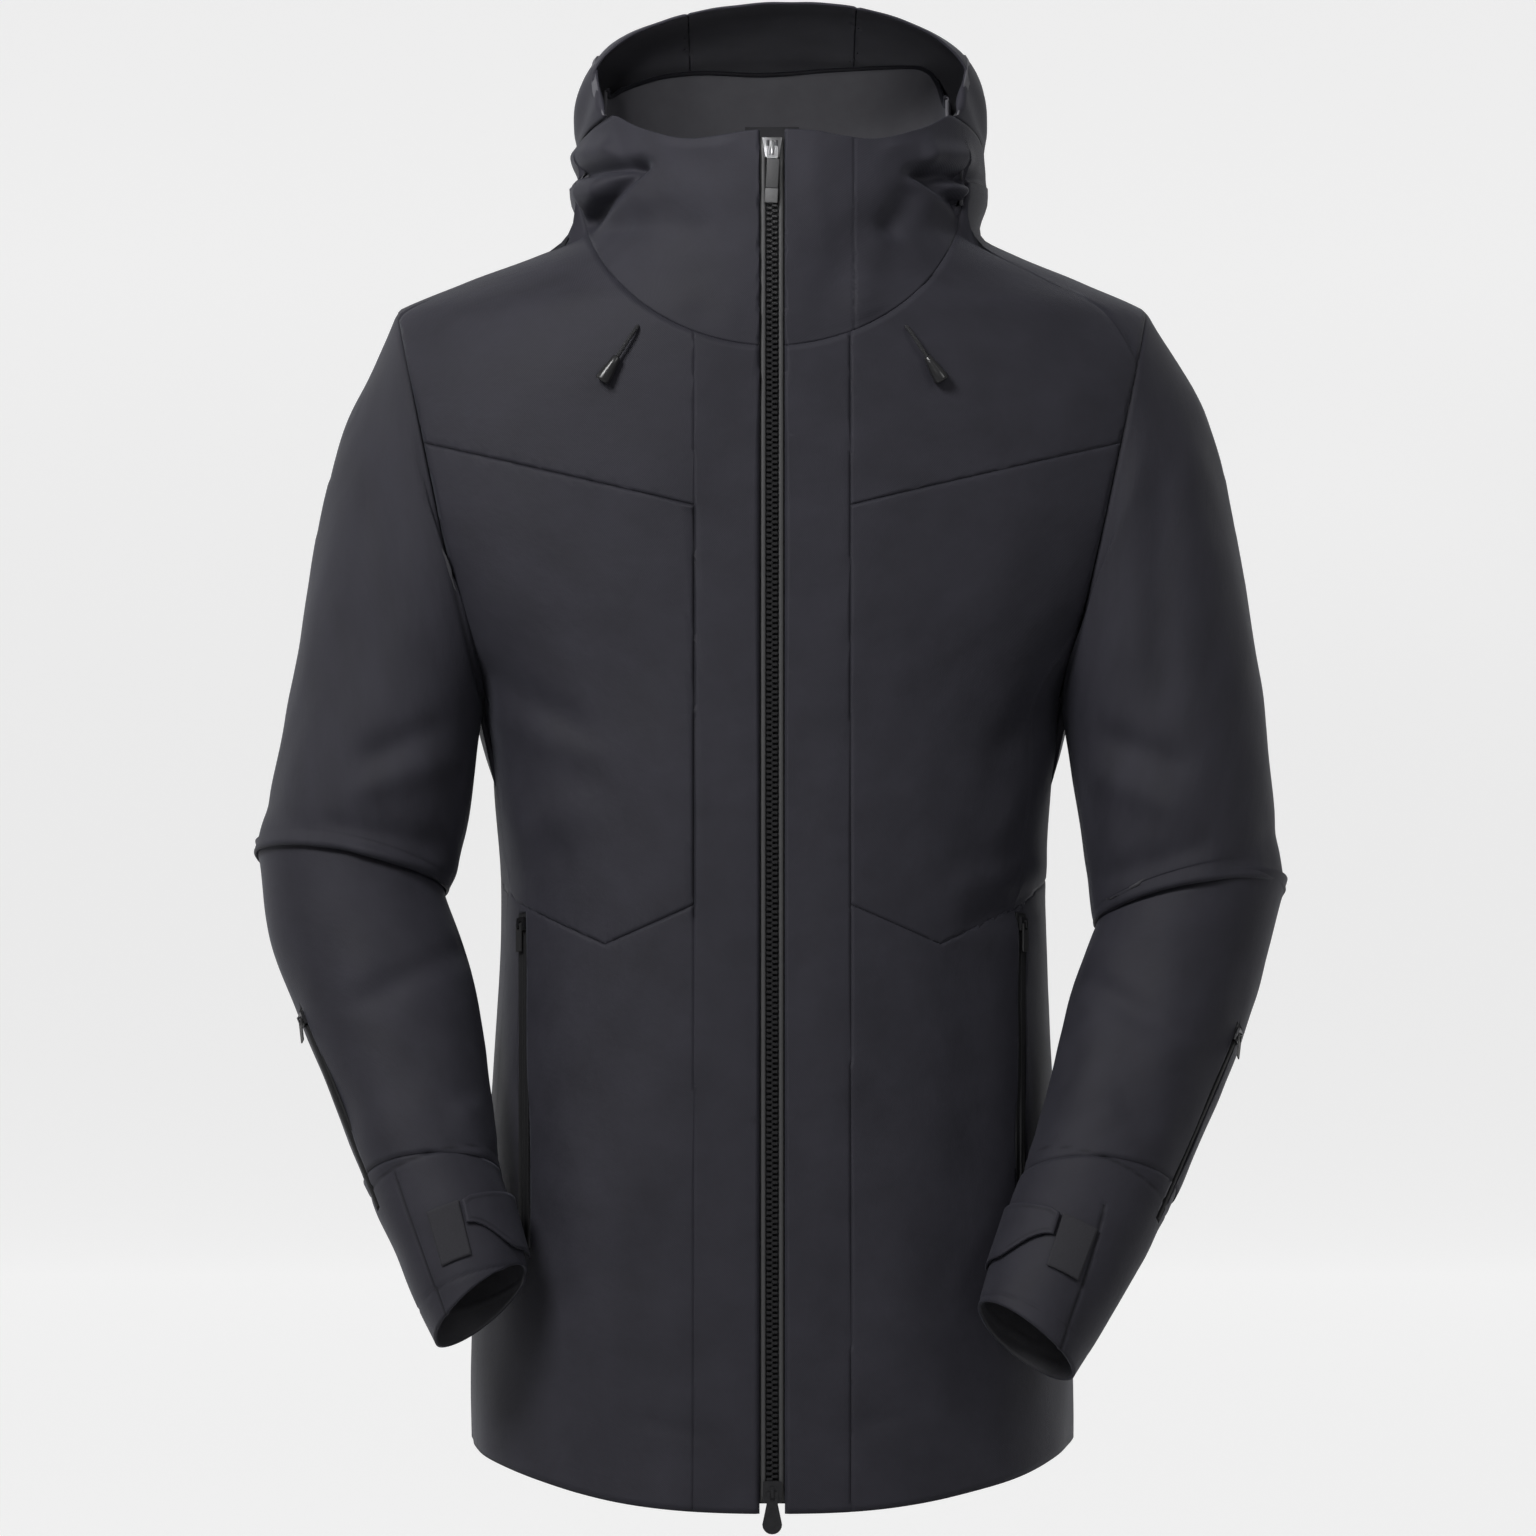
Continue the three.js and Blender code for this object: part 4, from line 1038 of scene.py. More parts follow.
HOOD_HALF, HOOD_ROWS, BRIM_HALF = 76, 84, 58
brim = brim_directions(BRIM_HALF)
FRONT_SWING = math.pi / 2 - math.atan(HOOD_TILT)
BACK_SWING = FRONT_SWING - math.pi
for k in range(1, HOOD_HALF - BRIM_HALF + 1):
    t = k / (HOOD_HALF - BRIM_HALF)
    brim.append((mix(brim[BRIM_HALF][0], math.pi / 2, t), mix(brim[BRIM_HALF][1], FRONT_SWING,
                                                            min(1.0, t * 6))))


def hood_place(i, j):
    side = i - HOOD_HALF
    spread, swing = brim[abs(side)]
    t = j / HOOD_ROWS
    end = abs(side) / HOOD_HALF * math.pi / 2
    spread_here = mix(spread, end, smooth(t * 0.9) if t < 1 else 1.0)
    swing_here = mix(swing, BACK_SWING, t)
    return head_reach(math.copysign(spread_here, side), swing_here)


hood_bm = wrapped_grid(HOOD_HALF * 2, HOOD_ROWS, hood_place)
bmesh.ops.remove_doubles(hood_bm, verts=hood_bm.verts, dist=0.00002)
bmesh.ops.recalc_face_normals(hood_bm, faces=list(hood_bm.faces))
hood_bm.normal_update()
top_face = max(hood_bm.faces, key=lambda f: f.calc_center_median().z)
if top_face.normal.z < 0:
    bmesh.ops.reverse_faces(hood_bm, faces=list(hood_bm.faces))
HOOD_SEAM = 52
for side in (-1, 1):
    cut(hood_bm, lambda x, y, z: abs(x - side * HOOD_SEAM) < 12, (side * HOOD_SEAM, 0, 0),
        (1, 0, 0))
print("hood grid:", len(hood_bm.faces), "faces")


def hood_line_height(y):
    return HEAD[2] - HOOD_TILT * y


def hood_seam_distance(x, y, z):
    return min(abs(abs(x) - HOOD_SEAM) + 0.7,
               abs(z - hood_line_height(y)) * 0.96)


def hood_fold(x, y, z):
    slow = noise.noise(Vector((x * 0.016 + 5, y * 0.016, z * 0.02)))
    brisk = noise.noise(Vector((x * 0.05, y * 0.04 + 9, z * 0.05)))
    lift = z - hood_line_height(y)
    side = smooth((abs(x) - 70) / 40)
    band = 1.8 * math.exp(-((lift - 20) / 16) ** 2)
    ripple = 1.2 * math.sin(y * 0.16 + z * 0.1) * math.exp(-((lift - 16) / 18) ** 2)
    brow = smooth((lift - 4) / 20)
    return (side * (band + ripple) + slow * 1.6 * brow + brisk * 0.6) * smooth(lift / 10)


soften(hood_bm, hood_fold)
sink_seams(hood_bm, hood_seam_distance)

# %% [markdown]
# The collar is a grid between two curves: the neck seam below, and the chin edge and hood line
# above. Where the hood is crammed down over the shoulders the cloth buckles, so the collar gets
# the deepest strokes on the jacket: two creases on each side with a puffed fold between them.

# %% Collar grid
CHIN_ROWS = [(-120, 27.5), (-112, 27), (-108, 23.5), (-103, 22), (-98, 23.5), (-90, 27.5),
             (-80, 32.5), (-70, 38.5), (-66, 40)]


def collar_top(y):
    if y > -66:
        return hood_line_height(y)
    return read_rows(CHIN_ROWS, max(-120, y))[0]


def top_on_column(turn):
    low, high = -20.0, 60.0
    for _ in range(30):
        mid = (low + high) / 2
        x, y, z = ring_point(turn, mid)
        if z < collar_top(y):
            low = mid
        else:
            high = mid
    return low


COLLAR_ROWS = 44
collar_tops = [top_on_column(turn) for turn in body_turns]
collar_feet = [column[-1] for column in column_heights]


def collar_place(i, j):
    return ring_point(body_turns[i], mix(collar_feet[i], collar_tops[i], j / COLLAR_ROWS))


collar_bm = wrapped_grid(BODY_COLUMNS, COLLAR_ROWS, collar_place)
bmesh.ops.remove_doubles(collar_bm, verts=collar_bm.verts, dist=0.00002)
bmesh.ops.recalc_face_normals(collar_bm, faces=list(collar_bm.faces))
for side in (-1, 1):
    cut(collar_bm, lambda x, y, z: y < 0 and abs(x) < 20, (side * ZIP_GAP, 0, 0), (1, 0, 0), 0)
    cut(collar_bm, lambda x, y, z: y < 0 and abs(x) < 20, (side * (ZIP_GAP + ZIP_LIP), 0, 0),
        (1, 0, 0), 0)
COLLAR_SEAM = 49.5
cut(collar_bm, lambda x, y, z: y < 0 and abs(x - COLLAR_SEAM) < 12, (COLLAR_SEAM, 0, 0), (1, 0, 0))
gap_faces = [f for f in collar_bm.faces
             if (lambda p: p[1] < 0 and abs(p[0]) < ZIP_GAP)(pattern_point(f.calc_center_median()))]
bmesh.ops.delete(collar_bm, geom=gap_faces, context="FACES")

bmesh.ops.subdivide_edges(collar_bm, edges=list(collar_bm.edges), cuts=1, use_grid_fill=True)

COLLAR_FOLDS = [
    ((-126, 7), (-80, 8), 4.2, -9.0), ((-82, 6), (-112, -24), 4.4, -9.0),
    ((-122, -5), (-104, -6), 8, 6.0), ((-124, 18), (-98, 20), 7, 5.0),
    ((-80, -10), (-66, -60), 12, 1.6), ((-64, 24), (-20, 20), 12, 1.2),
    ((126, 2), (86, 3), 4.2, -8.5), ((94, 1), (130, -26), 4.2, -8.5),
    ((86, -8), (70, -34), 9, -5.5), ((120, 15), (94, 15), 8, 5.0),
    ((126, -6), (106, -5), 6, 5.0), ((60, -40), (52, -86), 12, 2.0),
    ((70, 22), (96, 10), 7, 2.0), ((30, 16), (26, -40), 14, 1.3),
]


def collar_fold(x, y, z):
    if y > 40:
        return 1.5 * noise.noise(Vector((x * 0.02, y * 0.02, z * 0.03)))
    front = smooth((40 - y) / 60)
    slow = noise.noise(Vector((x * 0.02 + 2, y * 0.02, z * 0.02)))
    brisk = noise.noise(Vector((x * 0.06, y * 0.05 + 4, z * 0.05)))
    hold = smooth((abs(x) - 8) / 24)
    edge = smooth((collar_top(y) - z) / 7) * smooth((z - neck_seam_height(x, y)) / 8)
    if y > -66:
        edge = smooth((z - neck_seam_height(x, y)) / 8)
    return (front * stroke_height(x, z, COLLAR_FOLDS) * edge + slow * 1.8 + brisk * 0.7) * hold


def collar_seam_distance(x, y, z):
    faint = 1.9 if abs(x) > 50 or y > 0 else 2.6
    near = [abs(z - neck_seam_height(x, y)) * 0.8 + faint]
    if y < 0:
        near.append(abs(x - COLLAR_SEAM) + 0.9)
    if y > -66:
        near.append(abs(z - hood_line_height(y)) * 0.96)
    return min(near)


soften(collar_bm, collar_fold)
sink_seams(collar_bm, collar_seam_distance)
zip_fold(collar_bm)
for name, part in split_panels(collar_bm, lambda x, y, z: "left" if x > 0 else "right").items():
    piece = finish_piece(new_object(f"collar_{name}_cloth", part), [shell, painted_light_lining],
                         "jacket_body", [f"collar_{name}"])
    made_panels[f"collar_{name}"] = give_thickness(piece, 1.4)
    print("collar", name, len(piece.data.polygons))
collar_bm.free()

for name, part in split_panels(hood_bm, lambda x, y, z: "hood_centre" if abs(x) < HOOD_SEAM else
                               f"hood_side_{'left' if x > 0 else 'right'}").items():
    piece = finish_piece(new_object(f"{name}_cloth", part), [shell, painted_light_lining], None, [name])
    made_panels[name] = give_thickness(piece, 1.4)
    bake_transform(piece)
    print(name, len(piece.data.polygons))
hood_bm.free()

# %% [markdown]
# ## Sleeves
# Each sleeve is a string of rings. A ring has an outer edge, an inner edge and a depth, and the
# rings follow the bent arm. The first ring is not an oval: it is read from the body at the
# armhole, so that sleeve and body meet exactly, and it turns into an oval further down.

# %% Rings of the sleeves
UPPER = {
    -1: [(232, -79, 180, -310, 80, 0), (259, -138, 181, -322, 82, -5),
         (279, -215, 183, -347, 77, -14),
         (294, -300, 187, -386, 71, -25), (312, -385, 194, -422, 65, -36),
         (318, -412, 199, -434, 62, -41)],
    1: [(232, -79, 180, -310, 80, 0), (267, -138, 181, -322, 82, -5),
        (285, -212, 183, -346, 77, -14),
        (299, -300, 188, -388, 71, -25), (311, -400, 195, -441, 65, -37),
        (315, -434, 198, -454, 62, -43)]}
FORE = {
    -1: [(314, -417, 200, -438, 58, -42), (307, -464, 188, -470, 56, -51),
         (287, -515, 177, -511, 52, -67),
         (266, -562, 170, -557, 47, -86), (246, -608, 163, -602, 43, -107),
         (223, -658, 152, -635, 40, -125),
         (201, -704, 148, -656, 38, -137)],
    1: [(312, -439, 198, -458, 58, -44), (300, -482, 186, -486, 55, -54),
        (285, -525, 176, -517, 51, -69),
        (267, -566, 164, -560, 47, -89), (243, -615, 149, -606, 43, -115),
        (213, -667, 133, -646, 40, -143),
        (178, -722, 123, -676, 38, -160)]}


def sleeve_frame(rows, t):
    """Middle, half width, back direction, depth and the direction down the arm at ring t."""
    table = [(k, *row) for k, row in enumerate(rows)]
    last = len(rows) - 1

    def middle(u):
        ox, oz, ix, iz, _, y = read_rows(table, min(last, max(0, u)))
        point = Vector(((ox + ix) / 2, y, (oz + iz) / 2))
        if u < 0 or u > last:
            near, far = (0, 0.2) if u < 0 else (last, last - 0.2)
            point += (middle(near) - middle(far)) * abs(u - near) / 0.2
        return point

    ox, oz, ix, iz, deep, _ = read_rows(table, min(last, max(0, t)))
    wide = Vector(((ox - ix) / 2, 0, (oz - iz) / 2))
    along = (middle(min(last, t + 0.15)) - middle(max(0, t - 0.15))).normalized()
    back = wide.cross(along).normalized()
    if back.y < 0:
        back.negate()
    return middle(t), wide, back, deep, along


def sleeve_skin(rows, t, turn, proud=0.0):
    middle, wide, back, deep, _ = sleeve_frame(rows, t)
    reach = wide.normalized() * (wide.length + proud)
    return middle + reach * math.cos(turn) + back * (deep + proud) * math.sin(turn)


def body_share(x, y, z):
    half, back, front, power, middle = ring_size(z)
    return (abs(x - middle) / half) ** power + (abs(y) / (front if y < 0 else back)) ** power


def armhole_ring(turn):
    """The body's own outline in the armhole plane, drawn on the wearer's left."""
    up = Vector((ARMHOLE[0][0] - ARMHOLE[1][0], 0, ARMHOLE[0][1] - ARMHOLE[1][1]))
    centre = Vector((205, 0, -194))
    aim = (up / 2 * math.cos(turn) + Vector((0, 1, 0)) * 80 * math.sin(turn)).normalized()
    near, far = 20.0, 190.0
    for _ in range(26):
        mid = (near + far) / 2
        p = centre + aim * mid
        if body_share(*p) < 1:
            near = mid
        else:
            far = mid
    return centre + aim * near


def upper_place(side, columns, rows_down):
    rows = UPPER[side]
    ring = [armhole_ring(2 * math.pi * i / columns) for i in range(columns + 1)]
    start = sleeve_frame(rows, 0)
    last = len(rows) - 1

    def place(i, j):
        turn = 2 * math.pi * i / columns
        t = last * (j / rows_down)
        lip = (1 - j / rows_down) * 330
        proud = 0.7 * math.exp(-(lip / 14) ** 2) - 1.6 * math.exp(-(lip / 1.6) ** 2)
        oval = sleeve_skin(rows, t, turn, proud)
        share = smooth(t / 0.95)
        if share < 1:
            middle = sleeve_frame(rows, t)[0]
            drawn = ring[i] + (middle - start[0])
            oval = drawn * (1 - share) + oval * share
        return (oval.x * side, oval.y, oval.z)
    return place


def fore_place(side, columns, rows_down, first, last, proud=0.0):
    rows = FORE[side]

    def place(i, j):
        turn = 2 * math.pi * i / columns
        t = mix(first, last, j / rows_down)
        p = sleeve_skin(rows, t, turn, proud)
        return (p.x * side, p.y, p.z)
    return place


def sleeve_fold(side, place):
    """Slow rolls round the arm, scaled by place(x, y, z)."""
    def height(x, y, z):
        slow = noise.noise(Vector((x * 0.014 + 11 * side, y * 0.014, z * 0.008)))
        brisk = noise.noise(Vector((x * 0.04, y * 0.04 + 5 * side, z * 0.03)))
        return (slow * 3.2 + brisk * 1.0) * place(x, y, z)
    return height


def closed_tube(bm):
    bmesh.ops.remove_doubles(bm, verts=bm.verts, dist=0.00002)
    bmesh.ops.recalc_face_normals(bm, faces=list(bm.faces))
    bm.normal_update()
    middle = sum((v.co for v in bm.verts), Vector()) / len(bm.verts)
    face = max(bm.faces, key=lambda f: abs((f.calc_center_median() - middle).y))
    if (face.calc_center_median() - middle).dot(face.normal) < 0:
        bmesh.ops.reverse_faces(bm, faces=list(bm.faces))
    return bm


# %% Upper sleeves
def upper_fold_share(x, y, z):
    return smooth((abs(armhole_side(x, z)) - 2) / 45)


UPPER_FOLDS = {
    -1: [((-196, -330), (-246, -352), 9, -3.0), ((-192, -352), (-250, -372), 9, 2.4),
         ((-202, -404), (-268, -392), 8, -2.4), ((-200, -420), (-250, -410), 6, 2.0),
         ((-262, -150), (-296, -340), 22, 2.2), ((-232, -130), (-240, -300), 14, -2.6),
         ((-280, -398), (-312, -380), 8, -1.4)],
    1: [((196, -336), (246, -356), 9, -3.0), ((192, -360), (246, -384), 10, 2.4),
        ((202, -424), (262, -404), 8, -2.2), ((258, -150), (290, -330), 22, 2.2),
        ((236, -120), (236, -320), 13, -3.4), ((276, -418), (310, -396), 8, -1.4)]}

for side in (-1, 1):
    worn = WORN[side]
    bm = closed_tube(wrapped_grid(120, 84, upper_place(side, 120, 84)))
    fold = sleeve_fold(side, upper_fold_share)
    soften(bm, lambda x, y, z: fold(x, y, z) + upper_fold_share(x, y, z)
           * (stroke_height(x, z, UPPER_FOLDS[side]) if y < -10 else 0))
    sink_seams(bm, lambda x, y, z: abs(armhole_side(x, z)) if z > -330 and abs(x) < 240 else 99.0)
    piece = finish_piece(new_object(f"upper_sleeve_{worn}_cloth", bm), [shell, lining], None,
                         [f"upper_sleeve_{worn}"])
    give_thickness(piece, 1.5)
    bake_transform(piece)
    print("upper sleeve", worn, len(piece.data.polygons))

# %% [markdown]
# The forearm starts a little way up inside the upper sleeve, so no gap opens when the elbow
# bends, and the cuff is its own panel sewn on at the wrist. Both are thin tubes with a wall,
# and the open end shows the lining.

# %% Forearms and cuffs
CUFF_START, CUFF_END = 4.0, 6.0
ARM_ZIP, ARM_ZIP_TURN = (4.4, 1.9), -0.3
CUFF_SEAM_TURN = {-1: -1.0, 1: -1.24}


def station_plane(side, t):
    middle, _, _, _, along = sleeve_frame(FORE[side], t)
    return (Vector((middle.x * side, middle.y, middle.z)),
            Vector((along.x * side, along.y, along.z)).normalized())


def flat_distance(plane, x, y, z):
    return (Vector((x, y, z)) - plane[0]).dot(plane[1])


FORE_FOLDS = {
    -1: [((-192, -470), (-250, -500), 9, -2.4), ((-184, -560), (-176, -590), 9, 3.0),
         ((-160, -590), (-196, -606), 6, -2.6), ((-250, -470), (-232, -580), 16, 2.0),
         ((-172, -612), (-220, -590), 7, 1.6)],
    1: [((190, -486), (246, -520), 9, -2.4), ((168, -580), (206, -560), 10, 2.4),
        ((152, -600), (196, -612), 6, -2.4), ((250, -490), (230, -590), 16, 2.0)]}

for side in (-1, 1):
    worn = WORN[side]
    cuff_plane = station_plane(side, CUFF_START)
    elbow_plane = station_plane(side, 0)

    def fore_share(x, y, z):
        d = flat_distance(elbow_plane, x, y, z)
        return smooth((d - 2) / 40) * smooth((abs(flat_distance(cuff_plane, x, y, z)) + 6) / 30)

    fold = sleeve_fold(side, fore_share)
    zip_foot, zip_head = (sleeve_skin(FORE[side], t, ARM_ZIP_TURN) for t in ARM_ZIP)
    zip_out = sleeve_skin(FORE[side], 3, ARM_ZIP_TURN) - sleeve_frame(FORE[side], 3)[0]
    zip_foot, zip_head, zip_out = (Vector((v.x * side, v.y, v.z))
                                   for v in (zip_foot, zip_head, zip_out))
    bm = closed_tube(wrapped_grid(104, 64, fore_place(side, 104, 64, -0.35, CUFF_START)))
    open_slot(bm, zip_foot, zip_head, zip_out, 3.6)
    soften(bm, lambda x, y, z: fold(x, y, z) + fore_share(x, y, z)
           * (stroke_height(x, z, FORE_FOLDS[side]) if y < -60 else 0))
    sink_seams(bm, lambda x, y, z: abs(flat_distance(cuff_plane, x, y, z)))
    piece = finish_piece(new_object(f"forearm_{worn}_cloth", bm), [shell, lining], None,
                         [f"forearm_{worn}"])
    give_thickness(piece, 1.4)
    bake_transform(piece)

    bm = closed_tube(wrapped_grid(96, 48, fore_place(side, 96, 48, CUFF_START, CUFF_END)))
    open_slot(bm, zip_foot, zip_head, zip_out, 3.6)
    seam_point = sleeve_skin(FORE[side], 5, CUFF_SEAM_TURN[side])
    beside = (sleeve_skin(FORE[side], 5, CUFF_SEAM_TURN[side] + 0.1) - seam_point).normalized()
    seam_plane = (Vector((seam_point.x * side, seam_point.y, seam_point.z)),
                  Vector((beside.x * side, beside.y, beside.z)))
    cut(bm, lambda x, y, z: abs(flat_distance(seam_plane, x, y, z)) < 12
        and y < seam_plane[0].y + 12, tuple(seam_plane[0]), seam_plane[1])
    end_plane = station_plane(side, CUFF_END)
    soften(bm, lambda x, y, z: (1.6 * noise.noise(Vector((x * 0.03, y * 0.03, z * 0.03)))
                                * smooth(abs(flat_distance(cuff_plane, x, y, z)) / 16)))
    sink_seams(bm, lambda x, y, z: min(
        abs(flat_distance(cuff_plane, x, y, z)),
        abs(flat_distance(seam_plane, x, y, z)) if y < seam_plane[0].y + 14 else 99.0,
        abs(flat_distance(end_plane, x, y, z) + 11) + 0.7))
    piece = finish_piece(new_object(f"cuff_{worn}_cloth", bm), [shell, lining],
                         f"lower_arm_{worn}", [f"cuff_{worn}"])
    give_thickness(piece, 1.8)
    print("forearm and cuff", worn, len(piece.data.polygons))

# %% [markdown]
# The cuff strap is a short tab that wraps the wrist, with its free end cut to a curve. It is a
# small grid laid just above the cuff, and the looped patch that it grips lies beside its end.


# %% Straps and patches
def cuff_band(side, turn, down, proud):
    """A point on the cuff, down millimetres below the strap's middle line."""
    middle, _, _, _, along = sleeve_frame(FORE[side], 5)
    before = sleeve_skin(FORE[side], 4.6, turn, proud)
    after = sleeve_skin(FORE[side], 5.4, turn, proud)
    here = sleeve_skin(FORE[side], 5, turn, proud)
    slant = (after - before) / (after - before).dot(along)
    base = here - slant * (here - middle).dot(along)
    p = base + slant * down
    return (p.x * side, p.y, p.z)


STRAP_ABOVE, STRAP_BELOW = 17, 19


def strap_place(side):
    def place(i, j):
        u, v = i / 36, j / 20
        foot = STRAP_BELOW * (1 - 1.05 * smooth((u - 0.42) / 0.58))
        head = -STRAP_ABOVE + 2.0 * smooth((u - 0.9) / 0.1)
        proud = 1.5 + 0.5 * math.sin(math.pi * u) + 0.6 * smooth((u - 0.8) / 0.2)
        return cuff_band(side, mix(-3.4, -1.86, u), mix(head, foot, v), proud + 0.7)
    return place


def border_distance(bm):
    """How far each point is from the piece's own edge, as stored for the seam line that the finish
    darkens as painted shade.
    """
    edge = [v.co.copy() for v in bm.verts if v.is_boundary]
    layer = bm.verts.layers.float.new(SEAM)
    for v in bm.verts:
        near = min((v.co - e).length for e in edge)
        v[layer] = abs(near - 0.0026) + 0.0004


for side in (-1, 1):
    worn = WORN[side]
    bm = wrapped_grid(36, 20, strap_place(side))
    bmesh.ops.remove_doubles(bm, verts=bm.verts, dist=0.00002)
    bm.normal_update()
    outward = Vector((0, -1, 0))
    if sum(f.normal.dot(outward) for f in bm.faces) < 0:
        bmesh.ops.reverse_faces(bm, faces=list(bm.faces))
    border_distance(bm)
    strap = finish_piece(new_object(f"cuff_strap_{worn}", bm), [shell, lining], f"strap_{worn}",
                         [f"cuff_tab_{worn}"])
    give_thickness(strap, 1.5)

    bm = wrapped_grid(16, 20, lambda i, j: cuff_band(
        side, mix(-1.82, -1.3, i / 16), mix(-STRAP_ABOVE + 1, STRAP_BELOW - 1, j / 20), 1.2))
    bm.normal_update()
    if sum(f.normal.dot(outward) for f in bm.faces) < 0:
        bmesh.ops.reverse_faces(bm, faces=list(bm.faces))
    patch = finish_piece(new_object(f"loop_patch_{worn}", bm), [loop_pile],
                         f"lower_arm_{worn}", [f"cuff_patch_{worn}"])
    give_thickness(patch, 0.9)
print("straps and patches made")

# %% [markdown]
# ## The front zip
# The zip is the jacket's centre line, so it gets real teeth. One tooth is a bevelled block of a
# few faces, copied down each tape with a step of 3.3 mm; the two sides are half a step apart,
# which is how moulded teeth lock. Beside them run two rubbed edges that catch the light.

# %% The zip's own line
ZIP_FOOT, ZIP_HEAD = Vector((0, -158, -797)), Vector((0, -112, 26))
ZIP_UP = (ZIP_HEAD - ZIP_FOOT).normalized()
ZIP_LENGTH = (ZIP_HEAD - ZIP_FOOT).length
ZIP_BACK = Vector((1, 0, 0)).cross(ZIP_UP) * -1
if ZIP_BACK.y < 0:
    ZIP_BACK.negate()


def on_zip(across, behind, up):
    p = ZIP_FOOT + ZIP_UP * up + ZIP_BACK * behind + Vector((across, 0, 0))
    return p


def zip_strip(name, profile, low, high, rows):
    """A long strip whose section is a list of (across, behind) points."""
    bm = wrapped_grid(len(profile) - 1, rows,
                      lambda i, j: tuple(on_zip(*profile[i], mix(low, high, j / rows))))
    bm.normal_update()
    if sum(f.normal.y for f in bm.faces) > 0:
        bmesh.ops.reverse_faces(bm, faces=list(bm.faces))
    return new_object(name, bm)


# %% Tapes and rubbed edges
for side in (-1, 1):
    worn = WORN[side]
    tape = finish_piece(zip_strip(f"front_zip_tape_{worn}", [(side * x, b) for x, b in (
        (0.4, 4.4), (3.2, 4.3), (7, 4.3), (10, 4.4), (13, 4.6))], 1, 821, 120),
        [zip_tape], "jacket_body", [f"zip_tape_{worn}"])
    give_thickness(tape, 0.8)
    edge = finish_piece(zip_strip(f"front_zip_edge_{worn}", [(side * x, b) for x, b in (
        (3.75, 3.9), (3.8, 3.0), (4.2, 2.45), (5.0, 2.2), (5.8, 2.3), (6.5, 2.7), (7.4, 3.4))],
        2, 820, 120), [zip_welt], "jacket_body", ())
    give_thickness(edge, 0.5)

# %% Teeth
TOOTH_STEP = 3.3


def one_tooth(bm, across, up):
    made = bmesh.ops.create_cube(bm, size=1)["verts"]
    middle = on_zip(across, 2.6, up)
    turn = Matrix((Vector((1, 0, 0)), ZIP_BACK, ZIP_UP)).transposed().to_4x4()
    bmesh.ops.scale(bm, vec=(0.0040, 0.0025, 0.0021), verts=made)
    bmesh.ops.transform(bm, matrix=Matrix.Translation(at(*middle)) @ turn, verts=made)
    return made


def zip_teeth(side):
    bm = bmesh.new()
    count = int((ZIP_LENGTH - 22) / TOOTH_STEP)
    for k in range(count):
        one_tooth(bm, side * 1.55, 12 + k * TOOTH_STEP + (TOOTH_STEP / 2 if side > 0 else 0))
    bmesh.ops.bevel(bm, geom=list(bm.edges), offset=0.0005, segments=1, profile=0.5,
                    affect="EDGES", material=-1)
    return new_object(f"front_zip_teeth_{WORN[side]}", bm)


for side in (-1, 1):
    teeth = finish_piece(zip_teeth(side), [tooth_plastic], "jacket_body",
                         [f"zip_teeth_{WORN[side]}"])
    for face in teeth.data.polygons:
        face.use_smooth = False
print("teeth on each side:", int((ZIP_LENGTH - 22) / TOOTH_STEP))

# %% [markdown]
# The pull tab is a flat bar of grey rubber moulded round a cord loop, with a paler foot. It hangs
# from the slider's bail, so the CAD link stays as it is and gets a polished finish.


# %% Pull tabs
def bar(name, size, round_by, middle, turn=None, segments=3):
    bm = bmesh.new()
    made = bmesh.ops.create_cube(bm, size=1)["verts"]
    bmesh.ops.scale(bm, vec=Vector(size) * 0.001, verts=made)
    bmesh.ops.bevel(bm, geom=list(bm.edges), offset=round_by * 0.001, segments=segments,
                    profile=0.5, affect="EDGES", material=-1)
    spot = Matrix.Translation(middle)
    bmesh.ops.transform(bm, matrix=spot @ turn if turn else spot, verts=bm.verts)
    bmesh.ops.recalc_face_normals(bm, faces=list(bm.faces))
    return new_object(name, bm)


def soft_copy(node, name, bevel=0.0003, grow=0.0, smooth_times=0):
    """A CAD node's shape with its doubles merged and its edges rounded, as a new piece."""
    bm = bmesh.new()
    bm.from_mesh(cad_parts[node].data)
    bmesh.ops.remove_doubles(bm, verts=bm.verts, dist=0.00001)
    bmesh.ops.dissolve_limit(bm, angle_limit=math.radians(4), verts=bm.verts, edges=bm.edges)
    if bevel:
        sharp = [e for e in bm.edges if e.is_manifold and e.calc_face_angle(0) > 0.6]
        bmesh.ops.bevel(bm, geom=sharp, offset=bevel, segments=2, profile=0.5, affect="EDGES",
                        clamp_overlap=True, material=-1)
    for _ in range(smooth_times):
        bmesh.ops.smooth_vert(bm, verts=bm.verts, factor=0.4, use_axis_x=True, use_axis_y=True,
                              use_axis_z=True)
    uv = bm.loops.layers.uv.new(CLOTH_UV)
    for face in bm.faces:
        for loop in face.loops:
            loop[uv].uv = (loop.vert.co.x, loop.vert.co.z)
    if grow:
        bm.normal_update()
        for v in bm.verts:
            v.co += v.normal * grow
    return new_object(name, bm)


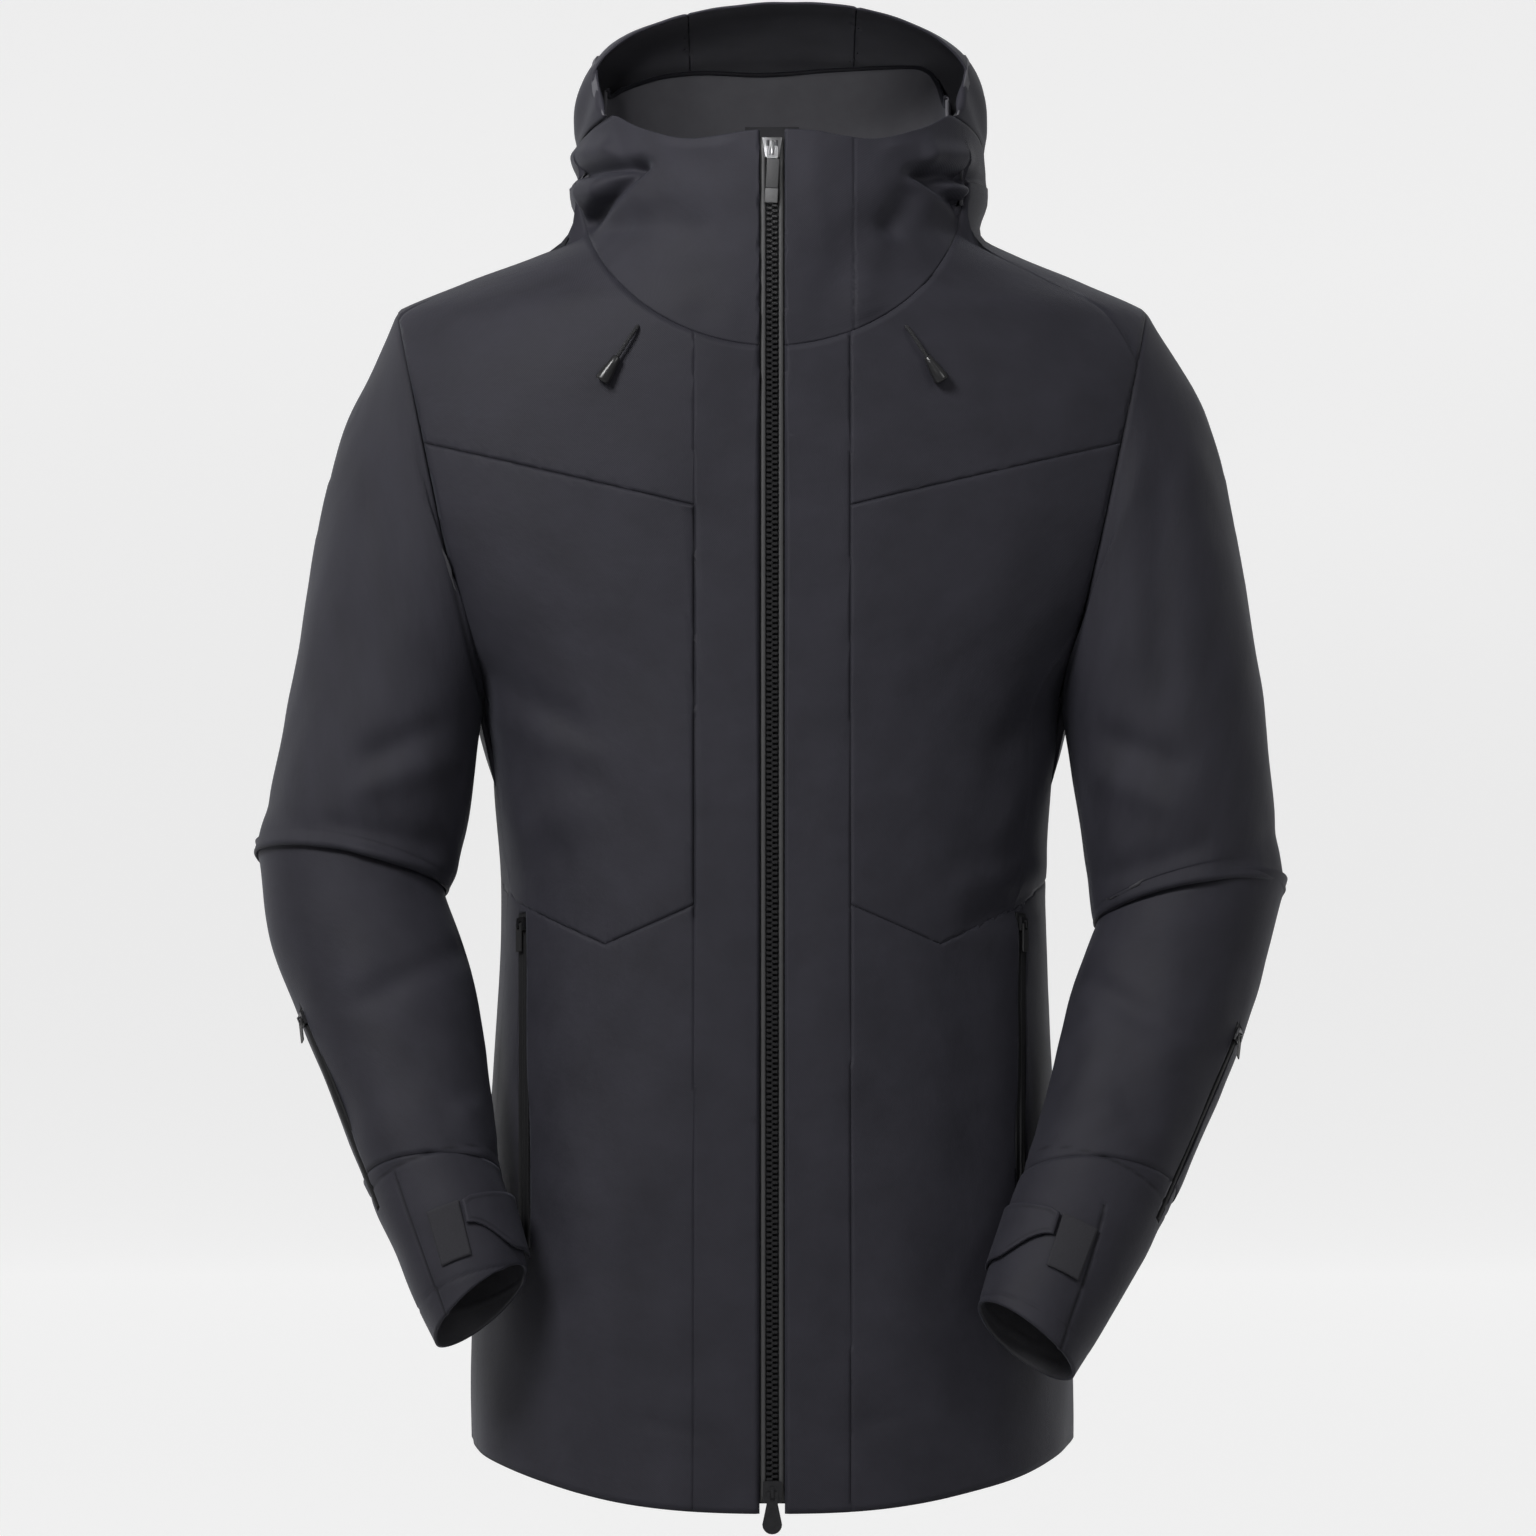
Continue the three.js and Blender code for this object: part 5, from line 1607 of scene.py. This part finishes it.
tab_low, tab_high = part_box("top_puller_tab")
tab_middle = (tab_low + tab_high) / 2
tab_tall = (tab_high.z - tab_low.z) * 1000
tab_lean = Matrix.Rotation(math.atan2(0.0558, 0.9984), 4, "X") @ Matrix.Rotation(
    math.radians(3.0), 4, "Y")
upper_bar = bar("pull_tab_grey", (7.6, 1.7, tab_tall * 0.66), 0.5,
                tab_middle + tab_lean @ Vector((0, 0, tab_tall * 0.00017)), tab_lean)
finish_piece(upper_bar, [grey_rubber], "top_puller", ["top_puller_tab"])
foot_bar = bar("pull_tab_foot", (7.9, 2.0, tab_tall * 0.33), 0.6,
               tab_middle - tab_lean @ Vector((0, 0, tab_tall * 0.00033)), tab_lean)
finish_piece(foot_bar, [pale_rubber], "top_puller", ())

# %% [markdown]
# The top slider is small but bright, so the eye goes to it. It is built from bevelled blocks: a
# body that widens upwards, a bridge for the puller and a bar below, with dark metal blocks laid on
# it as painted shadow in its openings.

# %% The top slider
def slider_block(bm, size, middle, spread=1.0):
    """A block in the zip's directions; spread widens its upper end."""
    made = bmesh.ops.create_cube(bm, size=1)["verts"]
    for v in made:
        if v.co.z > 0:
            v.co.x *= spread
    turn = Matrix((Vector((1, 0, 0)), ZIP_BACK, ZIP_UP)).transposed().to_4x4()
    bmesh.ops.scale(bm, vec=Vector(size) * 0.001, verts=made)
    bmesh.ops.transform(bm, matrix=Matrix.Translation(at(*middle)) @ turn, verts=made)


slider_low, slider_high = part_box("top_slider")
slider_up = (at(*ZIP_FOOT) - (slider_low + slider_high) / 2).length * 1000
bm = bmesh.new()
slider_block(bm, (9.2, 2.6, 12.2), on_zip(0, 1.2, slider_up), 1.32)
slider_block(bm, (2.4, 1.8, 8.4), on_zip(0, -1.2, slider_up - 0.6))
slider_block(bm, (6.2, 1.5, 2.2), on_zip(0, -0.9, slider_up - 4.8))
bmesh.ops.bevel(bm, geom=list(bm.edges), offset=0.0005, segments=3, profile=0.5,
                affect="EDGES", material=-1)
finish_piece(new_object("top_slider_body_silver", bm), [silver], "top_slider_body",
             ["top_slider"])
# Dark metal blocks on each side of the slider: painted shadow where its openings would be.
bm = bmesh.new()
for side in (-1, 1):
    slider_block(bm, (1.5, 0.5, 6.0), on_zip(side * 2.6, -0.15, slider_up + 1.2), 1.3)
    slider_block(bm, (1.0, 0.5, 2.4), on_zip(side * 2.2, -0.15, slider_up - 4.6))
bmesh.ops.bevel(bm, geom=list(bm.edges), offset=0.0002, segments=2, profile=0.5,
                affect="EDGES", material=-1)
finish_piece(new_object("top_slider_painted_shadows", bm), [dark_metal], "top_slider_body", ())
print("top slider built at", round(slider_up, 1), "mm up the zip")

# %% [markdown]
# ## Soft parts inside
# The inner collar stands up behind the face opening with a piped top edge, the label and hang
# loop are sewn to it, and the pocket bags hang behind the front panels. They show at the neck
# and from below, so they are cloth pieces too.

# %% Inner collar
INNER_TOP = [(-118, 50), (-104, 60), (-96, 67), (-74, 76), (-46, 80), (-5, 79), (44, 82),
             (90, 82), (101, 78), (107, 68), (112, 50), (120, 44)]


def inner_place(i, j):
    turn = mix(math.radians(-8), math.radians(188), i / 96)
    c, s = math.cos(turn), math.sin(turn)
    x = 3 + 108 * math.copysign(abs(c) ** (2 / 2.8), c)
    y = 84 * math.copysign(abs(s) ** (2 / 2.8), s)
    top = read_rows(INNER_TOP, x)[0]
    z = mix(-18, top, j / 26)
    lean = smooth(j / 26)
    return (x * (1 - 0.03 * lean), y - 12 * lean * max(0.0, s), z)


bm = wrapped_grid(96, 26, inner_place)
bm.normal_update()
if sum(f.normal.dot(f.calc_center_median() - at(0, 0, 30)) for f in bm.faces) > 0:
    bmesh.ops.reverse_faces(bm, faces=list(bm.faces))
soften(bm, lambda x, y, z: 1.8 * noise.noise(Vector((x * 0.025, y * 0.03, z * 0.03))))
top_line = [inner_place(i, 26) for i in range(97)]
# The inner collar wears the paler hood lining on both sides, painted light inside the hood.
inner = finish_piece(new_object("inner_collar_cloth", bm), [painted_light_lining, painted_light_lining],
                     "jacket_body", ["inner_collar"])
give_thickness(inner, 2.2)
piping = tube([at(*p) for p in top_line], 0.0015, 8)
unwrap_tube(piping, [at(*p) for p in top_line], 0.0015)
finish_piece(new_object("inner_collar_piping", piping), [shell], "jacket_body", ())


# %% Label, hang loop, storm flap and pocket bags
def puffed_copy(node, name, finish, swell):
    """The CAD bag or flap as cloth: merged, cut finer and a little puffed."""
    bm = bmesh.new()
    bm.from_mesh(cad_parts[node].data)
    bmesh.ops.remove_doubles(bm, verts=bm.verts, dist=0.00001)
    bmesh.ops.triangulate(bm, faces=bm.faces)
    for _ in range(3):
        long_edges = [e for e in bm.edges if e.calc_length() > 0.014]
        if not long_edges:
            break
        bmesh.ops.subdivide_edges(bm, edges=long_edges, cuts=1, use_grid_fill=False)
        bmesh.ops.triangulate(bm, faces=bm.faces)
    bm.normal_update()
    for v in bm.verts:
        p = v.co * 30
        v.co += v.normal * swell * noise.noise(p) * 0.001
    uv = bm.loops.layers.uv.new(CLOTH_UV)
    for face in bm.faces:
        for loop in face.loops:
            loop[uv].uv = (loop.vert.co.x, loop.vert.co.z)
    return finish_piece(new_object(name, bm), [finish], "jacket_body", [node])


for side in (-1, 1):
    worn = WORN[side]
    puffed_copy(f"hand_pocket_bag_{worn}", f"hand_bag_{worn}_cloth", lining, 0.5)
    puffed_copy(f"chest_pocket_bag_{worn}", f"chest_bag_{worn}_cloth", lining, 0.5)
puffed_copy("storm_flap", "storm_flap_cloth", lining, 0.3)
puffed_copy("hang_loop", "hang_loop_tape", zip_tape, 0.15)
finish_piece(soft_copy("neck_label", "neck_label_cloth", 0.0002), [lining], "jacket_body",
             ["neck_label"])
for side in (-1, 1):
    worn = WORN[side]
    for where, body in (("hand_pocket", "jacket_body"), ("forearm", f"lower_arm_{worn}")):
        piece = soft_copy(f"{where}_{worn}_zip", f"{where}_{worn}_zip_tape", 0.0003)
        finish_piece(piece, [pocket_tape], body, [f"{where}_{worn}_zip"])
print("inside pieces made")

# %% [markdown]
# The other sliders, the pullers and the two stops at the foot of the zip are hard parts whose CAD
# shape is already right, so they stay and only take a finish.

# %% Finishes for the CAD fittings
FITTING_FINISH = {"top_puller_link": silver, "bottom_slider": dark_metal,
                  "bottom_puller": dark_metal, "zip_retainer_box": tooth_plastic,
                  "zip_insertion_pin": tooth_plastic}
for worn in WORN.values():
    for where in ("hand_pocket", "forearm"):
        FITTING_FINISH[f"{where}_{worn}_slider"] = dark_metal
        FITTING_FINISH[f"{where}_{worn}_puller"] = pull_rubber
for node, finish in FITTING_FINISH.items():
    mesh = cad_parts[node].data
    mesh.materials.clear()
    mesh.materials.append(finish)
print("fittings finished:", len(FITTING_FINISH))
